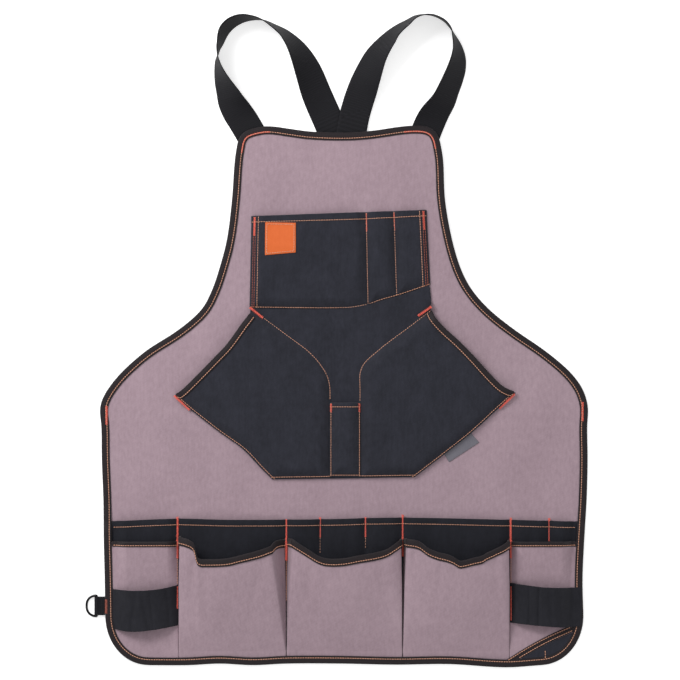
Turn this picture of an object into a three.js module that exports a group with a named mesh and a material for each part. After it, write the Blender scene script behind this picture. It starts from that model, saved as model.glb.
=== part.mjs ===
// A bib tool apron laid flat on its back: a canvas panel bound all round with folded tape, a black
// pocket panel on the bib, two rows of pockets along the hem, hammer loops, a D-ring, and two
// webbing straps whose loops stand on edge above the bib and cross under it.
// Millimetres. +X is to the right, +Y from the hem to the bib, +Z up from the surface it lies on.
import * as THREE from "three";

// Panel
const panelLength = 674; // from the hem to the top edge of the bib
const panelWidth = 610; // at the waist
const cornerWidth = 54; // of the two round bottom corners; their height is the first row of the sides
const canvasCloth = 1.2;

// Other cloth
const pocketCloth = 1.0;
const labelCloth = 0.7;
const gap = 0.3; // between pieces that touch
const tape = 0.9; // thickness of the binding tape
const edgeTapeWidth = 10;
const mouthTapeWidth = 9;

// Straps
const strapWidth = 38;
const webbing = 1.5;

// Pockets
const swellSlope = 15; // distance from a seam over which a pocket's cloth rises
const chestSwell = 7; // how far the cloth of each pocket stands off what lies under it
const handSwell = 7.5;
const penSwell = 7;
const slotSwell = 7; // of the slots in the back layer
const slotFade = 120; // depth below the back layer's mouth where it lies flat again
const sideSwell = 7;
const sideFade = 70;
const bellowsHeight = 22; // how far the bellows pockets stand open at the mouth
const mouthSag = 25; // how far their front edge hangs below the corners
const foldWidth = 2; // a bellows fold's least width, at the hem
const seamAllowance = 2.2; // between the chest pocket and the hand pocket, in their common seam
const hemWidth = 11; // flat stretch of the bellows pockets above the hem
const layerInset = 1; // how far the pocket layers stop short of the panel's edge
const flatMargin = 5; // how far they stay flat inside the binding
const edgeColumn = 1.5; // where their first crease runs, inside the binding
const cornerRoom = 1.2; // between the corner patch and the binding
const leastCell = 1; // the narrowest column or row of a piece of cloth
const sharpestTurn = 0.5; // cosine of half the sharpest turn that a line is moved aside at
const wallShare = 0.8; // height of a bellows pocket's folds as a share of its middle's
const lastBellowsRow = 0.97; // how far open a bellows pocket is where its mouth's tape begins

// Hammer loops, corner and hip
const loopBulge = 13;
const cornerTapeWidth = 9;
const ringWire = 3;
const ringWidth = 29;
const ringReach = 14.5; // from the ring's straight bar to its far side
const tabWebbing = 1.2;
const tabLength = 10; // from the ring's bar to the binding
const tabTuck = 0.4; // the ring's room in its tab, each way along the bar
const barHeight = 3.3; // the ring's bar above the surface
const ringSteps = 14;
const wireSides = 8;
const ringSquareness = 0.8; // 1 for a half circle, less for squarer shoulders
const tabFlare = Math.PI / 3; // where the tab's loop round the bar leaves its two flat legs

// What lies on what: the clearance that leaves room for a mouth tape's under leg
const boundRise = gap + tape + gap;
const overlapRise = webbing + gap; // a strap lying on another
const panelRest = tape + gap; // the panel's underside above the surface, on the binding's under leg
const panelOverOne = panelRest + overlapRise;
const panelOverTwo = panelRest + 2 * overlapRise;

// The panel's sides from the bib's corners down to the round corners. up is a share of the panel's
// length, left and right are shares of half its width.
const sides = [
  { up: 0.091, left: 0.978, right: 0.981 },
  { up: 0.158, left: 0.98, right: 0.977 },
  { up: 0.232, left: 0.984, right: 0.984 },
  { up: 0.306, left: 0.986, right: 0.994 },
  { up: 0.38, left: 0.992, right: 0.998 },
  { up: 0.445, left: 0.994, right: 0.996 },
  { up: 0.471, left: 1.0, right: 1.0 },
  { up: 0.491, left: 0.992, right: 0.994 },
  { up: 0.517, left: 0.959, right: 0.971 },
  { up: 0.547, left: 0.902, right: 0.918 },
  { up: 0.584, left: 0.807, right: 0.82 },
  { up: 0.621, left: 0.68, right: 0.701 },
  { up: 0.658, left: 0.586, right: 0.598 },
  { up: 0.695, left: 0.541, right: 0.525 },
  { up: 0.733, left: 0.512, right: 0.48 },
  { up: 0.788, left: 0.48, right: 0.443 },
  { up: 0.862, left: 0.459, right: 0.414 },
  { up: 0.937, left: 0.447, right: 0.406 },
  { up: 0.974, left: 0.434, right: 0.392 },
];
const bibEdge = [
  { across: -0.434, up: 0.974 },
  { across: -0.414, up: 0.987 },
  { across: -0.369, up: 0.995 },
  { across: -0.311, up: 0.999 },
  { across: -0.221, up: 0.994 },
  { across: -0.139, up: 0.989 },
  { across: 0.004, up: 0.987 },
  { across: 0.107, up: 0.99 },
  { across: 0.23, up: 0.998 },
  { across: 0.287, up: 1.0 },
  { across: 0.34, up: 0.998 },
  { across: 0.377, up: 0.988 },
  { across: 0.392, up: 0.974 },
];
const hemEdge = [
  { across: -0.795, up: 0 },
  { across: -0.639, up: 0 },
  { across: -0.508, up: 0.003 },
  { across: -0.373, up: 0 },
  { across: -0.234, up: 0.003 },
  { across: -0.016, up: 0.003 },
  { across: 0.209, up: 0.001 },
  { across: 0.434, up: 0.002 },
  { across: 0.66, up: -0.004 },
  { across: 0.804, up: 0 },
];
const hemWave = 0.004; // how far the hem line strays, as a share of the panel's length
const columnShares = [0, 0.03, 0.07, 0.13, 0.22, 0.32, 0.42, 0.5, 0.58, 0.68, 0.78, 0.87, 0.93, 0.97, 1];
const cornerSteps = 3; // of half a round corner

// Where the panel lies on the strap crossing, on single straps, and on the surface.
const restSteps = [
  { up: 0.306, height: panelRest },
  { up: 0.445, height: panelOverOne },
  { up: 0.733, height: panelOverOne },
  { up: 0.862, height: panelOverTwo },
];

// The straps' outer long edge, from the bib's corner round the loop and under the panel to the
// opposite hip. lean is how far the webbing turns up from flat, in degrees, and rise is how far
// that edge is lifted, as a share of the lift over another strap.
const strapLeftRoute = [
  { across: -0.385, up: 0.931, lean: 0, rise: 1 },
  { across: -0.426, up: 0.963, lean: 0, rise: 1 },
  { across: -0.463, up: 0.992, lean: 0, rise: 1 },
  { across: -0.492, up: 1.014, lean: 10, rise: 0.8 },
  { across: -0.512, up: 1.037, lean: 25, rise: 0.4 },
  { across: -0.52, up: 1.059, lean: 40, rise: 0 },
  { across: -0.527, up: 1.081, lean: 54, rise: 0 },
  { across: -0.529, up: 1.103, lean: 69, rise: 0 },
  { across: -0.525, up: 1.122, lean: 83, rise: 0 },
  { across: -0.51, up: 1.131, lean: 91, rise: 0 },
  { across: -0.503, up: 1.141, lean: 97, rise: 0 },
  { across: -0.495, up: 1.149, lean: 102, rise: 0 },
  { across: -0.484, up: 1.159, lean: 107, rise: 0 },
  { across: -0.47, up: 1.17, lean: 110, rise: 0 },
  { across: -0.447, up: 1.181, lean: 108, rise: 0 },
  { across: -0.418, up: 1.189, lean: 104, rise: 0 },
  { across: -0.385, up: 1.194, lean: 97, rise: 0 },
  { across: -0.334, up: 1.195, lean: 86, rise: 0 },
  { across: -0.275, up: 1.185, lean: 78, rise: 0 },
  { across: -0.225, up: 1.174, lean: 70, rise: 0 },
  { across: -0.16, up: 1.15, lean: 48, rise: 0 },
  { across: -0.103, up: 1.115, lean: 29, rise: 0 },
  { across: -0.053, up: 1.066, lean: 6, rise: 0 },
  { across: -0.016, up: 1.029, lean: 0, rise: 0 },
  { across: 0.057, up: 0.956, lean: 0, rise: 0 },
  { across: 0.148, up: 0.896, lean: 0, rise: 0 },
  { across: 0.277, up: 0.82, lean: 0, rise: 0 },
  { across: 0.563, up: 0.662, lean: 0, rise: 0 },
  { across: 0.805, up: 0.545, lean: 0, rise: 0 },
  { across: 0.964, up: 0.49, lean: 0, rise: 0 },
];
const strapRightRoute = [
  { across: 0.352, up: 0.931, lean: 0, rise: 1 },
  { across: 0.381, up: 0.963, lean: 0, rise: 1 },
  { across: 0.406, up: 0.992, lean: 0, rise: 1 },
  { across: 0.426, up: 1.014, lean: 15, rise: 0.8 },
  { across: 0.451, up: 1.037, lean: 32, rise: 0.4 },
  { across: 0.467, up: 1.059, lean: 40, rise: 0 },
  { across: 0.484, up: 1.081, lean: 45, rise: 0 },
  { across: 0.496, up: 1.103, lean: 50, rise: 0 },
  { across: 0.496, up: 1.126, lean: 58, rise: 0 },
  { across: 0.48, up: 1.148, lean: 72, rise: 0 },
  { across: 0.449, up: 1.17, lean: 86, rise: 0 },
  { across: 0.432, up: 1.181, lean: 89, rise: 0 },
  { across: 0.41, up: 1.192, lean: 89, rise: 0 },
  { across: 0.381, up: 1.2, lean: 88, rise: 0 },
  { across: 0.355, up: 1.204, lean: 87, rise: 0 },
  { across: 0.32, up: 1.205, lean: 85, rise: 0 },
  { across: 0.287, up: 1.202, lean: 82, rise: 0 },
  { across: 0.257, up: 1.195, lean: 77, rise: 0 },
  { across: 0.217, up: 1.186, lean: 71, rise: 0 },
  { across: 0.176, up: 1.174, lean: 64, rise: 0 },
  { across: 0.098, up: 1.141, lean: 42, rise: 0.1 },
  { across: 0.041, up: 1.098, lean: 20, rise: 0.6 },
  { across: 0.012, up: 1.068, lean: 5, rise: 1 },
  { across: -0.014, up: 1.031, lean: 0, rise: 1 },
  { across: -0.051, up: 0.955, lean: 0, rise: 1 },
  { across: -0.139, up: 0.881, lean: 0, rise: 1 },
  { across: -0.277, up: 0.82, lean: 0, rise: 0.4 },
  { across: -0.385, up: 0.766, lean: 0, rise: 0 },
  { across: -0.563, up: 0.662, lean: 0, rise: 0 },
  { across: -0.805, up: 0.545, lean: 0, rise: 0 },
  { across: -0.964, up: 0.49, lean: 0, rise: 0 },
];
const strapSteps = 48;

// Bib pocket panel: chest pocket above, hand pockets below
const chestMouth = [
  { across: -0.377, up: 0.831 },
  { across: 0.336, up: 0.846 },
];
const chestSeam = [
  { across: -0.385, up: 0.662 },
  { across: 0.004, up: 0.661 },
  { across: 0.093, up: 0.667 },
  { across: 0.159, up: 0.677 },
  { across: 0.222, up: 0.685 },
  { across: 0.352, up: 0.705 },
];
const chestColumns = [0, 0.656, 0.815, 1]; // the side seams and the two pen seams between them
const chestRows = [0, 0.1, 0.25, 0.5, 0.75, 0.92, 1];
const wideShares = [0, 0.05, 0.11, 0.3, 0.5, 0.7, 0.89, 0.95];
const narrowShares = [0, 0.2, 0.44, 0.56, 0.8];

const handEdgeLeft = [
  { across: -0.299, up: 0.345 },
  { across: -0.344, up: 0.365 },
  { across: -0.422, up: 0.402 },
  { across: -0.52, up: 0.434 },
  { across: -0.636, up: 0.475 },
  { across: -0.699, up: 0.5 },
];
const handMouthLeft = [
  { across: -0.699, up: 0.5 },
  { across: -0.664, up: 0.51 },
  { across: -0.59, up: 0.543 },
  { across: -0.534, up: 0.569 },
  { across: -0.48, up: 0.595 },
  { across: -0.426, up: 0.629 },
  { across: -0.389, up: 0.651 },
];
const handEdgeRight = [
  { across: 0.295, up: 0.349 },
  { across: 0.41, up: 0.389 },
  { across: 0.535, up: 0.434 },
  { across: 0.641, up: 0.478 },
  { across: 0.708, up: 0.505 },
];
const handMouthRight = [
  { across: 0.708, up: 0.505 },
  { across: 0.653, up: 0.516 },
  { across: 0.598, up: 0.54 },
  { across: 0.54, up: 0.569 },
  { across: 0.48, up: 0.597 },
  { across: 0.422, up: 0.621 },
  { across: 0.379, up: 0.642 },
  { across: 0.363, up: 0.656 },
];
const handSeamLeft = [
  { across: -0.057, up: 0.349 },
  { across: -0.057, up: 0.486 },
  { across: -0.063, up: 0.527 },
  { across: -0.094, up: 0.555 },
  { across: -0.148, up: 0.582 },
  { across: -0.242, up: 0.614 },
  { across: -0.37, up: 0.657 },
];
const handSeamRight = [
  { across: 0.068, up: 0.349 },
  { across: 0.066, up: 0.499 },
  { across: 0.073, up: 0.551 },
  { across: 0.148, up: 0.586 },
  { across: 0.262, up: 0.625 },
  { across: 0.355, up: 0.657 },
];
const handEdgeSteps = 5;
const handMouthSteps = 8;
const handShares = [0, 0.15, 0.32, 0.5, 0.68, 0.85];
const middleShares = [0, 0.33, 0.67];
const penPocket = { left: -0.053, right: 0.064, low: 0.35, high: 0.486 };
const tagCorners = [
  { across: 0.43, up: 0.377 },
  { across: 0.552, up: 0.413 },
  { across: 0.505, up: 0.437 },
  { across: 0.4, up: 0.402 },
];
const labelCorners = [
  { across: -0.322, up: 0.76 },
  { across: -0.198, up: 0.765 },
  { across: -0.198, up: 0.819 },
  { across: -0.321, up: 0.82 },
];

// Waist: the back layer's mouth and the seams that divide it into slots
const backMouth = [
  { across: -1, up: 0.265 },
  { across: -0.684, up: 0.271 },
  { across: -0.467, up: 0.269 },
  { across: -0.098, up: 0.27 },
  { across: 0.23, up: 0.273 },
  { across: 0.676, up: 0.269 },
  { across: 1, up: 0.265 },
];
const backSeams = [-0.678, -0.236, -0.098, 0.088, 0.24, 0.679, 0.84];
const backRows = [0, 0.09, 0.3, 0.5, 0.66, 0.8, 0.92, 1];
const slotShares = [0, 0.1, 0.3, 0.7, 0.9];
const sideMouth = 0.23; // share of the panel's length
const sideRows = [0, 0.12, 0.4, 0.62, 0.8];

// The bellows pockets. left and right are their seams; foldLeft and foldRight are how far the
// front's folds stand in from them at the mouth, in millimetres; the mouth's line is in shares of
// its sag.
const bellows = [
  {
    name: "pocket_left",
    left: -0.678,
    right: -0.236,
    foldLeft: 1,
    foldRight: 16,
    up: 0.2355,
    mouth: [
      { share: 0, drop: 0 },
      { share: 0.1, drop: 0.35 },
      { share: 0.2, drop: 0.88 },
      { share: 0.32, drop: 1 },
      { share: 0.5, drop: 0.98 },
      { share: 0.7, drop: 0.8 },
      { share: 0.86, drop: 0.58 },
      { share: 1, drop: 0.4 },
    ],
  },
  {
    name: "pocket_middle",
    left: -0.236,
    right: 0.24,
    foldLeft: 6,
    foldRight: 1,
    up: 0.237,
    mouth: [
      { share: 0, drop: 0 },
      { share: 0.15, drop: 0.4 },
      { share: 0.3, drop: 0.95 },
      { share: 0.46, drop: 1 },
      { share: 0.63, drop: 0.84 },
      { share: 0.8, drop: 0.62 },
      { share: 0.92, drop: 0.3 },
      { share: 1, drop: 0.05 },
    ],
  },
  {
    name: "pocket_right",
    left: 0.24,
    right: 0.679,
    foldLeft: 3,
    foldRight: 1,
    up: 0.2365,
    mouth: [
      { share: 0, drop: 0 },
      { share: 0.12, drop: 0.15 },
      { share: 0.24, drop: 0.55 },
      { share: 0.38, drop: 0.78 },
      { share: 0.52, drop: 1 },
      { share: 0.68, drop: 0.88 },
      { share: 0.84, drop: 0.5 },
      { share: 1, drop: 0.1 },
    ],
  },
];
const frontShares = [0, 0.08, 0.2, 0.32, 0.45, 0.58, 0.7, 0.82, 0.92, 1];
const bellowsRows = [0, 0.2, 0.42, 0.62, 0.8];

// Hammer loops: share runs across the loop, height is a share of its bulge.
const loopLeft = {
  name: "hammer_loop_left",
  low: 0.073,
  high: 0.143,
  arch: [
    { share: 0, height: 0 },
    { share: 0.12, height: 0.45 },
    { share: 0.28, height: 0.85 },
    { share: 0.5, height: 1 },
    { share: 0.72, height: 0.85 },
    { share: 0.88, height: 0.45 },
    { share: 1, height: 0 },
  ],
};
const loopRight = {
  name: "hammer_loop_right",
  low: 0.077,
  high: 0.15,
  arch: [
    { share: 0, height: 0 },
    { share: 0.12, height: 0.45 },
    { share: 0.28, height: 0.85 },
    { share: 0.48, height: 1 },
    { share: 0.66, height: 0.88 },
    { share: 0.78, height: 0.5 },
    { share: 0.86, height: 0.16 },
    { share: 1, height: 0.14 },
  ],
};
const loopRows = [0, 0.5, 1];
const cornerLine = [
  { across: 0.672, up: 0.012 },
  { across: 0.949, up: 0.071 },
];
const ringUp = 0.11;

// Colours
const canvasGrey = 0x8f7c84;
const clothBlack = 0x2a2b33;
const tapeBlack = 0x1e1a1d;
const webbingBlack = 0x26262a;
const labelOrange = 0xe2703a;
const tagGrey = 0x6d6a72;
const ringBlack = 0x16161a;

// Shares to millimetres
const acrossAt = (share) => (share * panelWidth) / 2;
const upAt = (share) => share * panelLength;
const place = (row) => new THREE.Vector2(acrossAt(row.across), upAt(row.up));
const placeAll = (rows) => rows.map(place);
const mix = THREE.MathUtils.lerp;

// The smooth curve through a table: the value of the column `to` where the column `from` is `at`.
// Between two rows it is a cubic whose slopes are the mean slopes about its ends.
function follow(rows, from, to, at) {
  const last = rows.length - 1;
  let i = 0;
  while (i < last - 1 && at > rows[i + 1][from]) i++;
  const slope = (a, b) => (rows[b][to] - rows[a][to]) / (rows[b][from] - rows[a][from]);
  const start = slope(Math.max(i - 1, 0), i + 1);
  const end = slope(i, Math.min(i + 2, last));
  const span = rows[i + 1][from] - rows[i][from];
  const t = THREE.MathUtils.clamp((at - rows[i][from]) / span, 0, 1);
  const rise = rows[i + 1][to] - rows[i][to];
  const bend = start * span - rise;
  const turn = rise - end * span;
  return rows[i][to] + t * rise + t * (1 - t) * ((1 - t) * bend + t * turn);
}

// Straight-line reading of a table or of a line of points
function readOff(rows, from, to, at) {
  const last = rows.length - 1;
  let i = 0;
  while (i < last - 1 && at > rows[i + 1][from]) i++;
  const t = (at - rows[i][from]) / (rows[i + 1][from] - rows[i][from]);
  return mix(rows[i][to], rows[i + 1][to], THREE.MathUtils.clamp(t, 0, 1));
}

// Points evenly spaced along the smooth curve through a table's points
function alongCurve(points, steps) {
  const curve = new THREE.SplineCurve(points);
  return curve.getSpacedPoints(steps);
}

// A line moved sideways, to its left hand, by the same distance everywhere
function moveAside(line, distance, closed = false) {
  const count = line.length;
  const at = (i) => (closed ? line[(i + count) % count] : line[THREE.MathUtils.clamp(i, 0, count - 1)]);
  return line.map((point, i) => {
    const before = point.clone().sub(at(i - 1)).normalize();
    const after = at(i + 1).clone().sub(point).normalize();
    const first = before.lengthSq() > 0 ? before : after;
    const second = after.lengthSq() > 0 ? after : before;
    const ahead = first.clone().add(second).normalize();
    const cosine = Math.max(ahead.dot(first), sharpestTurn);
    return new THREE.Vector2(-ahead.y, ahead.x).multiplyScalar(distance / cosine).add(point);
  });
}

function distanceToLine(point, line) {
  let least = Infinity;
  for (let i = 0; i + 1 < line.length; i++) {
    const a = line[i];
    const ab = line[i + 1].clone().sub(a);
    const t = THREE.MathUtils.clamp(point.clone().sub(a).dot(ab) / ab.lengthSq(), 0, 1);
    least = Math.min(least, point.distanceTo(a.clone().addScaledVector(ab, t)));
  }
  return least;
}

// A grid of points between four lines that meet at the corners: rows run from the low line to the
// high line, and each lies between the left and the right line.
function between(low, high, left, right) {
  return left.map((start, r) => {
    const t = r / (left.length - 1);
    return low.map((_, c) => {
      const s = (low[c].x - low[0].x) / (low[low.length - 1].x - low[0].x);
      const rows = start.clone().lerp(right[r], s);
      const columns = low[c].clone().lerp(high[c], t);
      const a = low[0].clone().lerp(low[low.length - 1], s);
      const b = high[0].clone().lerp(high[high.length - 1], s);
      return rows.add(columns).sub(a.lerp(b, t));
    });
  });
}

// A closed body from vertices and triangles, turned outwards whichever way it was wound
function bodyOf(vertices, triangles) {
  let volume = 0;
  for (const [a, b, c] of triangles) {
    volume += vertices[a].dot(vertices[b].clone().cross(vertices[c]));
  }
  const faces = volume < 0 ? triangles.map(([a, b, c]) => [a, c, b]) : triangles;
  const geometry = new THREE.BufferGeometry().setFromPoints(vertices);
  geometry.setIndex(faces.flat());
  geometry.computeVertexNormals();
  return geometry;
}

const quad = (a, b, c, d) => [
  [a, b, c],
  [a, c, d],
];

// The normals of a grid of points whose rows run +X and follow each other in +Y
function normalsOf(grid) {
  return grid.map((row, r) =>
    row.map((_, c) => {
      const right = row[Math.min(c + 1, row.length - 1)].clone().sub(row[Math.max(c - 1, 0)]);
      const up = grid[Math.min(r + 1, grid.length - 1)][c].clone().sub(grid[Math.max(r - 1, 0)][c]);
      return right.cross(up).normalize();
    }),
  );
}

const vertical = (line) => line.map(() => new THREE.Vector3(0, 0, 1));

// Cloth of one thickness, laid off from a grid of points on its underside along the normals
function cloth(grid, thickness, normals = grid.map(vertical)) {
  const rows = grid.length;
  const columns = grid[0].length;
  const over = grid.map((row, r) => row.map((p, c) => p.clone().addScaledVector(normals[r][c], thickness)));
  const vertices = [...grid.flat(), ...over.flat()];
  const low = (r, c) => r * columns + c;
  const high = (r, c) => rows * columns + low(r, c);
  const triangles = [];
  for (let r = 0; r + 1 < rows; r++) {
    for (let c = 0; c + 1 < columns; c++) {
      triangles.push(...quad(high(r, c), high(r, c + 1), high(r + 1, c + 1), high(r + 1, c)));
      triangles.push(...quad(low(r, c), low(r + 1, c), low(r + 1, c + 1), low(r, c + 1)));
    }
  }
  for (let c = 0; c + 1 < columns; c++) {
    triangles.push(...quad(low(0, c), low(0, c + 1), high(0, c + 1), high(0, c)));
    const r = rows - 1;
    triangles.push(...quad(low(r, c + 1), low(r, c), high(r, c), high(r, c + 1)));
  }
  for (let r = 0; r + 1 < rows; r++) {
    triangles.push(...quad(low(r + 1, 0), low(r, 0), high(r, 0), high(r + 1, 0)));
    const c = columns - 1;
    triangles.push(...quad(low(r, c), low(r + 1, c), high(r + 1, c), high(r, c)));
  }
  return bodyOf(vertices, triangles);
}

// A section carried through its places. caps are the section's own quads, which close open ends,
// and the faces of the sides named in turned are split along their other diagonal.
function sweep(sections, caps, closed = false, turned = []) {
  const sides = sections[0].length;
  const count = sections.length;
  const triangles = [];
  for (let i = 0; i < (closed ? count : count - 1); i++) {
    const next = (i + 1) % count;
    for (let k = 0; k < sides; k++) {
      const l = (k + 1) % sides;
      const face = [i * sides + k, i * sides + l, next * sides + l, next * sides + k];
      triangles.push(...(turned.includes(k) ? quad(face[3], face[0], face[1], face[2]) : quad(...face)));
    }
  }
  if (!closed) {
    const last = (count - 1) * sides;
    for (const [a, b, c, d] of caps) {
      triangles.push(...quad(d, c, b, a));
      triangles.push(...quad(last + a, last + b, last + c, last + d));
    }
  }
  return bodyOf(sections.flat(), triangles);
}

const stripCaps = [[0, 1, 2, 3]];
const tapeTurned = [2, 6]; // so that the tape's faces bend where the cloth between them bends
const tapeCaps = [
  [0, 1, 6, 7],
  [1, 2, 5, 6],
  [2, 3, 4, 5],
];

// Tape folded round an edge: edge and inner are lines of points on the underside of what it binds,
// at the edge and where the tape's legs end; stack is the thickness that it holds.
function foldedTape(edge, inner, edgeNormals, innerNormals, stack, closed = false) {
  const sections = edge.map((e, i) => {
    const out = e.clone().sub(inner[i]).normalize();
    const wall = (reach, height) =>
      e.clone().addScaledVector(out, reach).addScaledVector(edgeNormals[i], height);
    const leg = (height) => inner[i].clone().addScaledVector(innerNormals[i], height);
    const held = stack(e);
    const heldInside = stack(inner[i]);
    return [
      leg(-gap - tape),
      wall(gap + tape, -gap - tape),
      wall(gap + tape, held + gap + tape),
      leg(heldInside + gap + tape),
      leg(heldInside + gap),
      wall(gap, held + gap),
      wall(gap, -gap),
      leg(-gap),
    ];
  });
  return sweep(sections, tapeCaps, closed, tapeTurned);
}

const lift = (line, height) => line.map((p) => new THREE.Vector3(p.x, p.y, height(p)));
const liftGrid = (grid, height) => grid.map((row) => lift(row, height));

// Columns at every mark, and at the given shares of each stretch between marks
function divide(marks, sharesOf) {
  const columns = [];
  for (let i = 0; i + 1 < marks.length; i++) {
    for (const share of sharesOf(i)) columns.push(mix(marks[i], marks[i + 1], share));
  }
  return [...columns, marks[marks.length - 1]];
}

// The panel's outline. Each side is a line of points that starts at the middle of the round
// corner; the hem runs from one middle to the other.
const cornerHeight = upAt(sides[0].up);
const cornerMiddle = Math.PI / 4;
function cornerPoint(hand, angle) {
  const side = acrossAt(hand < 0 ? sides[0].left : sides[0].right);
  const reach = cornerWidth * (1 - Math.cos(angle));
  return new THREE.Vector2(hand * (side - reach), cornerHeight * (1 - Math.sin(angle)));
}
function sideLine(hand) {
  const corner = [];
  for (let i = cornerSteps; i > 0; i--) corner.push(cornerPoint(hand, (i / cornerSteps) * cornerMiddle));
  const rows = sides.map((row) => {
    const share = hand < 0 ? row.left : row.right;
    return new THREE.Vector2(hand * acrossAt(share), upAt(row.up));
  });
  return [...corner, ...rows];
}
function hemHeight(x) {
  const middle = cornerPoint(Math.sign(x), cornerMiddle);
  const side = acrossAt(x < 0 ? sides[0].left : sides[0].right);
  const fromSide = side - Math.abs(x);
  if (fromSide >= cornerWidth) return upAt(follow(hemEdge, "across", "up", x / acrossAt(1)));
  if (Math.abs(x) > Math.abs(middle.x)) return middle.y;
  const angle = Math.acos(1 - fromSide / cornerWidth);
  return cornerPoint(Math.sign(x), angle).y;
}
function edgeAcross(from, to, heightAt) {
  return columnShares.map((share) => {
    const x = mix(from.x, to.x, share);
    return new THREE.Vector2(x, heightAt(x));
  });
}
const leftSide = sideLine(-1);
const rightSide = sideLine(1);
const bibHeight = (x) => upAt(follow(bibEdge, "across", "up", x / acrossAt(1)));
const hemLine = edgeAcross(leftSide[0], rightSide[0], hemHeight);
const bibLine = edgeAcross(leftSide[leftSide.length - 1], rightSide[rightSide.length - 1], bibHeight);

// The whole outline, anticlockwise, and the same line further in
const outline = [
  ...hemLine.slice(0, -1),
  ...rightSide.slice(0, -1),
  ...bibLine.slice(1).reverse(),
  ...leftSide.slice(1).reverse(),
];
const hemCount = hemLine.length;
const sideCount = rightSide.length;
const inOutline = (distance) => moveAside(outline, distance, true);
function partsOf(ring) {
  const from = (start, count) => Array.from({ length: count }, (_, i) => ring[(start + i) % ring.length]);
  return {
    hem: from(0, hemCount),
    right: from(hemCount - 1, sideCount),
    bib: from(hemCount + sideCount - 2, hemCount).reverse(),
    left: from(2 * hemCount + sideCount - 3, sideCount).reverse(),
  };
}
const clothEdge = partsOf(inOutline(tape + gap));
const layerEdge = partsOf(inOutline(tape + gap + layerInset));
const closedOutline = [...outline, outline[0]];

// Heights. restOn is the panel's underside, and each layer lies on the one before it.
const restOn = (p) => readOff(restSteps, "up", "height", p.y / panelLength);
const panelTop = (p) => restOn(p) + canvasCloth;

// A pocket's rise off its backing: nothing at a seam, the full swell beyond the slope. margin is
// the flat stretch at the panel's edge, under the binding.
function swell(point, seams, height, margin = 0) {
  const toSeam = Math.min(...seams.map((seam) => distanceToLine(point, seam)));
  const toEdge = margin > 0 ? distanceToLine(point, closedOutline) - margin : Infinity;
  const share = THREE.MathUtils.clamp(Math.min(toSeam, toEdge) / swellSlope, 0, 1);
  return height * Math.sin((share * Math.PI) / 2);
}
const fade = (depth, over) => THREE.MathUtils.clamp(1 - depth / over, 0, 1);

// Chest pocket
const chestLeftTop = place(chestMouth[0]);
const chestRightTop = place(chestMouth[1]);
const chestSeamLine = (share) => {
  const ends = chestSeam[chestSeam.length - 1].across - chestSeam[0].across;
  const across = chestSeam[0].across + share * ends;
  return new THREE.Vector2(acrossAt(across), upAt(follow(chestSeam, "across", "up", across)));
};
const chestShares = divide(chestColumns, (i) => (i === 0 ? wideShares : narrowShares));
const chestLow = chestShares.map(chestSeamLine);
const chestHigh = chestShares.map((share) => chestLeftTop.clone().lerp(chestRightTop, share));
const chestSeams = [
  chestLow,
  ...chestColumns.map((share) => [chestSeamLine(share), chestLeftTop.clone().lerp(chestRightTop, share)]),
];
const chestUnder = (p) => panelTop(p) + gap + swell(p, chestSeams, chestSwell);
const chestTop = (p) => chestUnder(p) + pocketCloth;
function chestPocket() {
  const grid = chestRows.map((t) => chestLow.map((low, c) => low.clone().lerp(chestHigh[c], t)));
  return cloth(liftGrid(grid, chestUnder), pocketCloth);
}

// Hand pocket
const seamLeftLine = placeAll(handSeamLeft);
const seamRightLine = placeAll(handSeamRight);
const handSide = (edge, mouth, top) => [
  ...alongCurve(placeAll(edge), handEdgeSteps).slice(0, -1),
  ...alongCurve(placeAll(mouth), handMouthSteps),
  top,
];
const belowSeam = (share) => chestSeamLine(share).sub(new THREE.Vector2(0, seamAllowance));
const handLeft = handSide(handEdgeLeft, handMouthLeft, belowSeam(0));
const handRight = handSide(handEdgeRight, handMouthRight, belowSeam(1));
const handTip = handEdgeSteps;
const handMouthEnd = handEdgeSteps + handMouthSteps;
const handSeams = [
  seamLeftLine,
  seamRightLine,
  handLeft.slice(0, handTip + 1),
  handRight.slice(0, handTip + 1),
  [handLeft[0], handRight[0]],
  [belowSeam(0), belowSeam(1)],
];
function handUnder(p) {
  const base = panelTop(p) + boundRise;
  const sewn = p.x > readOff(seamLeftLine, "y", "x", p.y) && p.x < readOff(seamRightLine, "y", "x", p.y);
  return sewn ? base : base + swell(p, handSeams, handSwell);
}
const handTop = (p) => handUnder(p) + pocketCloth;
const handEdges = {
  left: moveAside(handLeft, -gap - tape),
  right: moveAside(handRight, gap + tape),
};
const handInner = {
  left: moveAside(handLeft, -mouthTapeWidth),
  right: moveAside(handRight, mouthTapeWidth),
};
// The top row lies along the chest pocket's seam.
const handRows = handLeft.length;
const seamHeight = (x) => {
  const ends = [belowSeam(0), belowSeam(1)];
  return belowSeam((x - ends[0].x) / (ends[1].x - ends[0].x)).y;
};
for (const line of [handEdges.left, handEdges.right, handInner.left, handInner.right]) {
  line[handRows - 1].y = seamHeight(line[handRows - 1].x);
}
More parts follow.
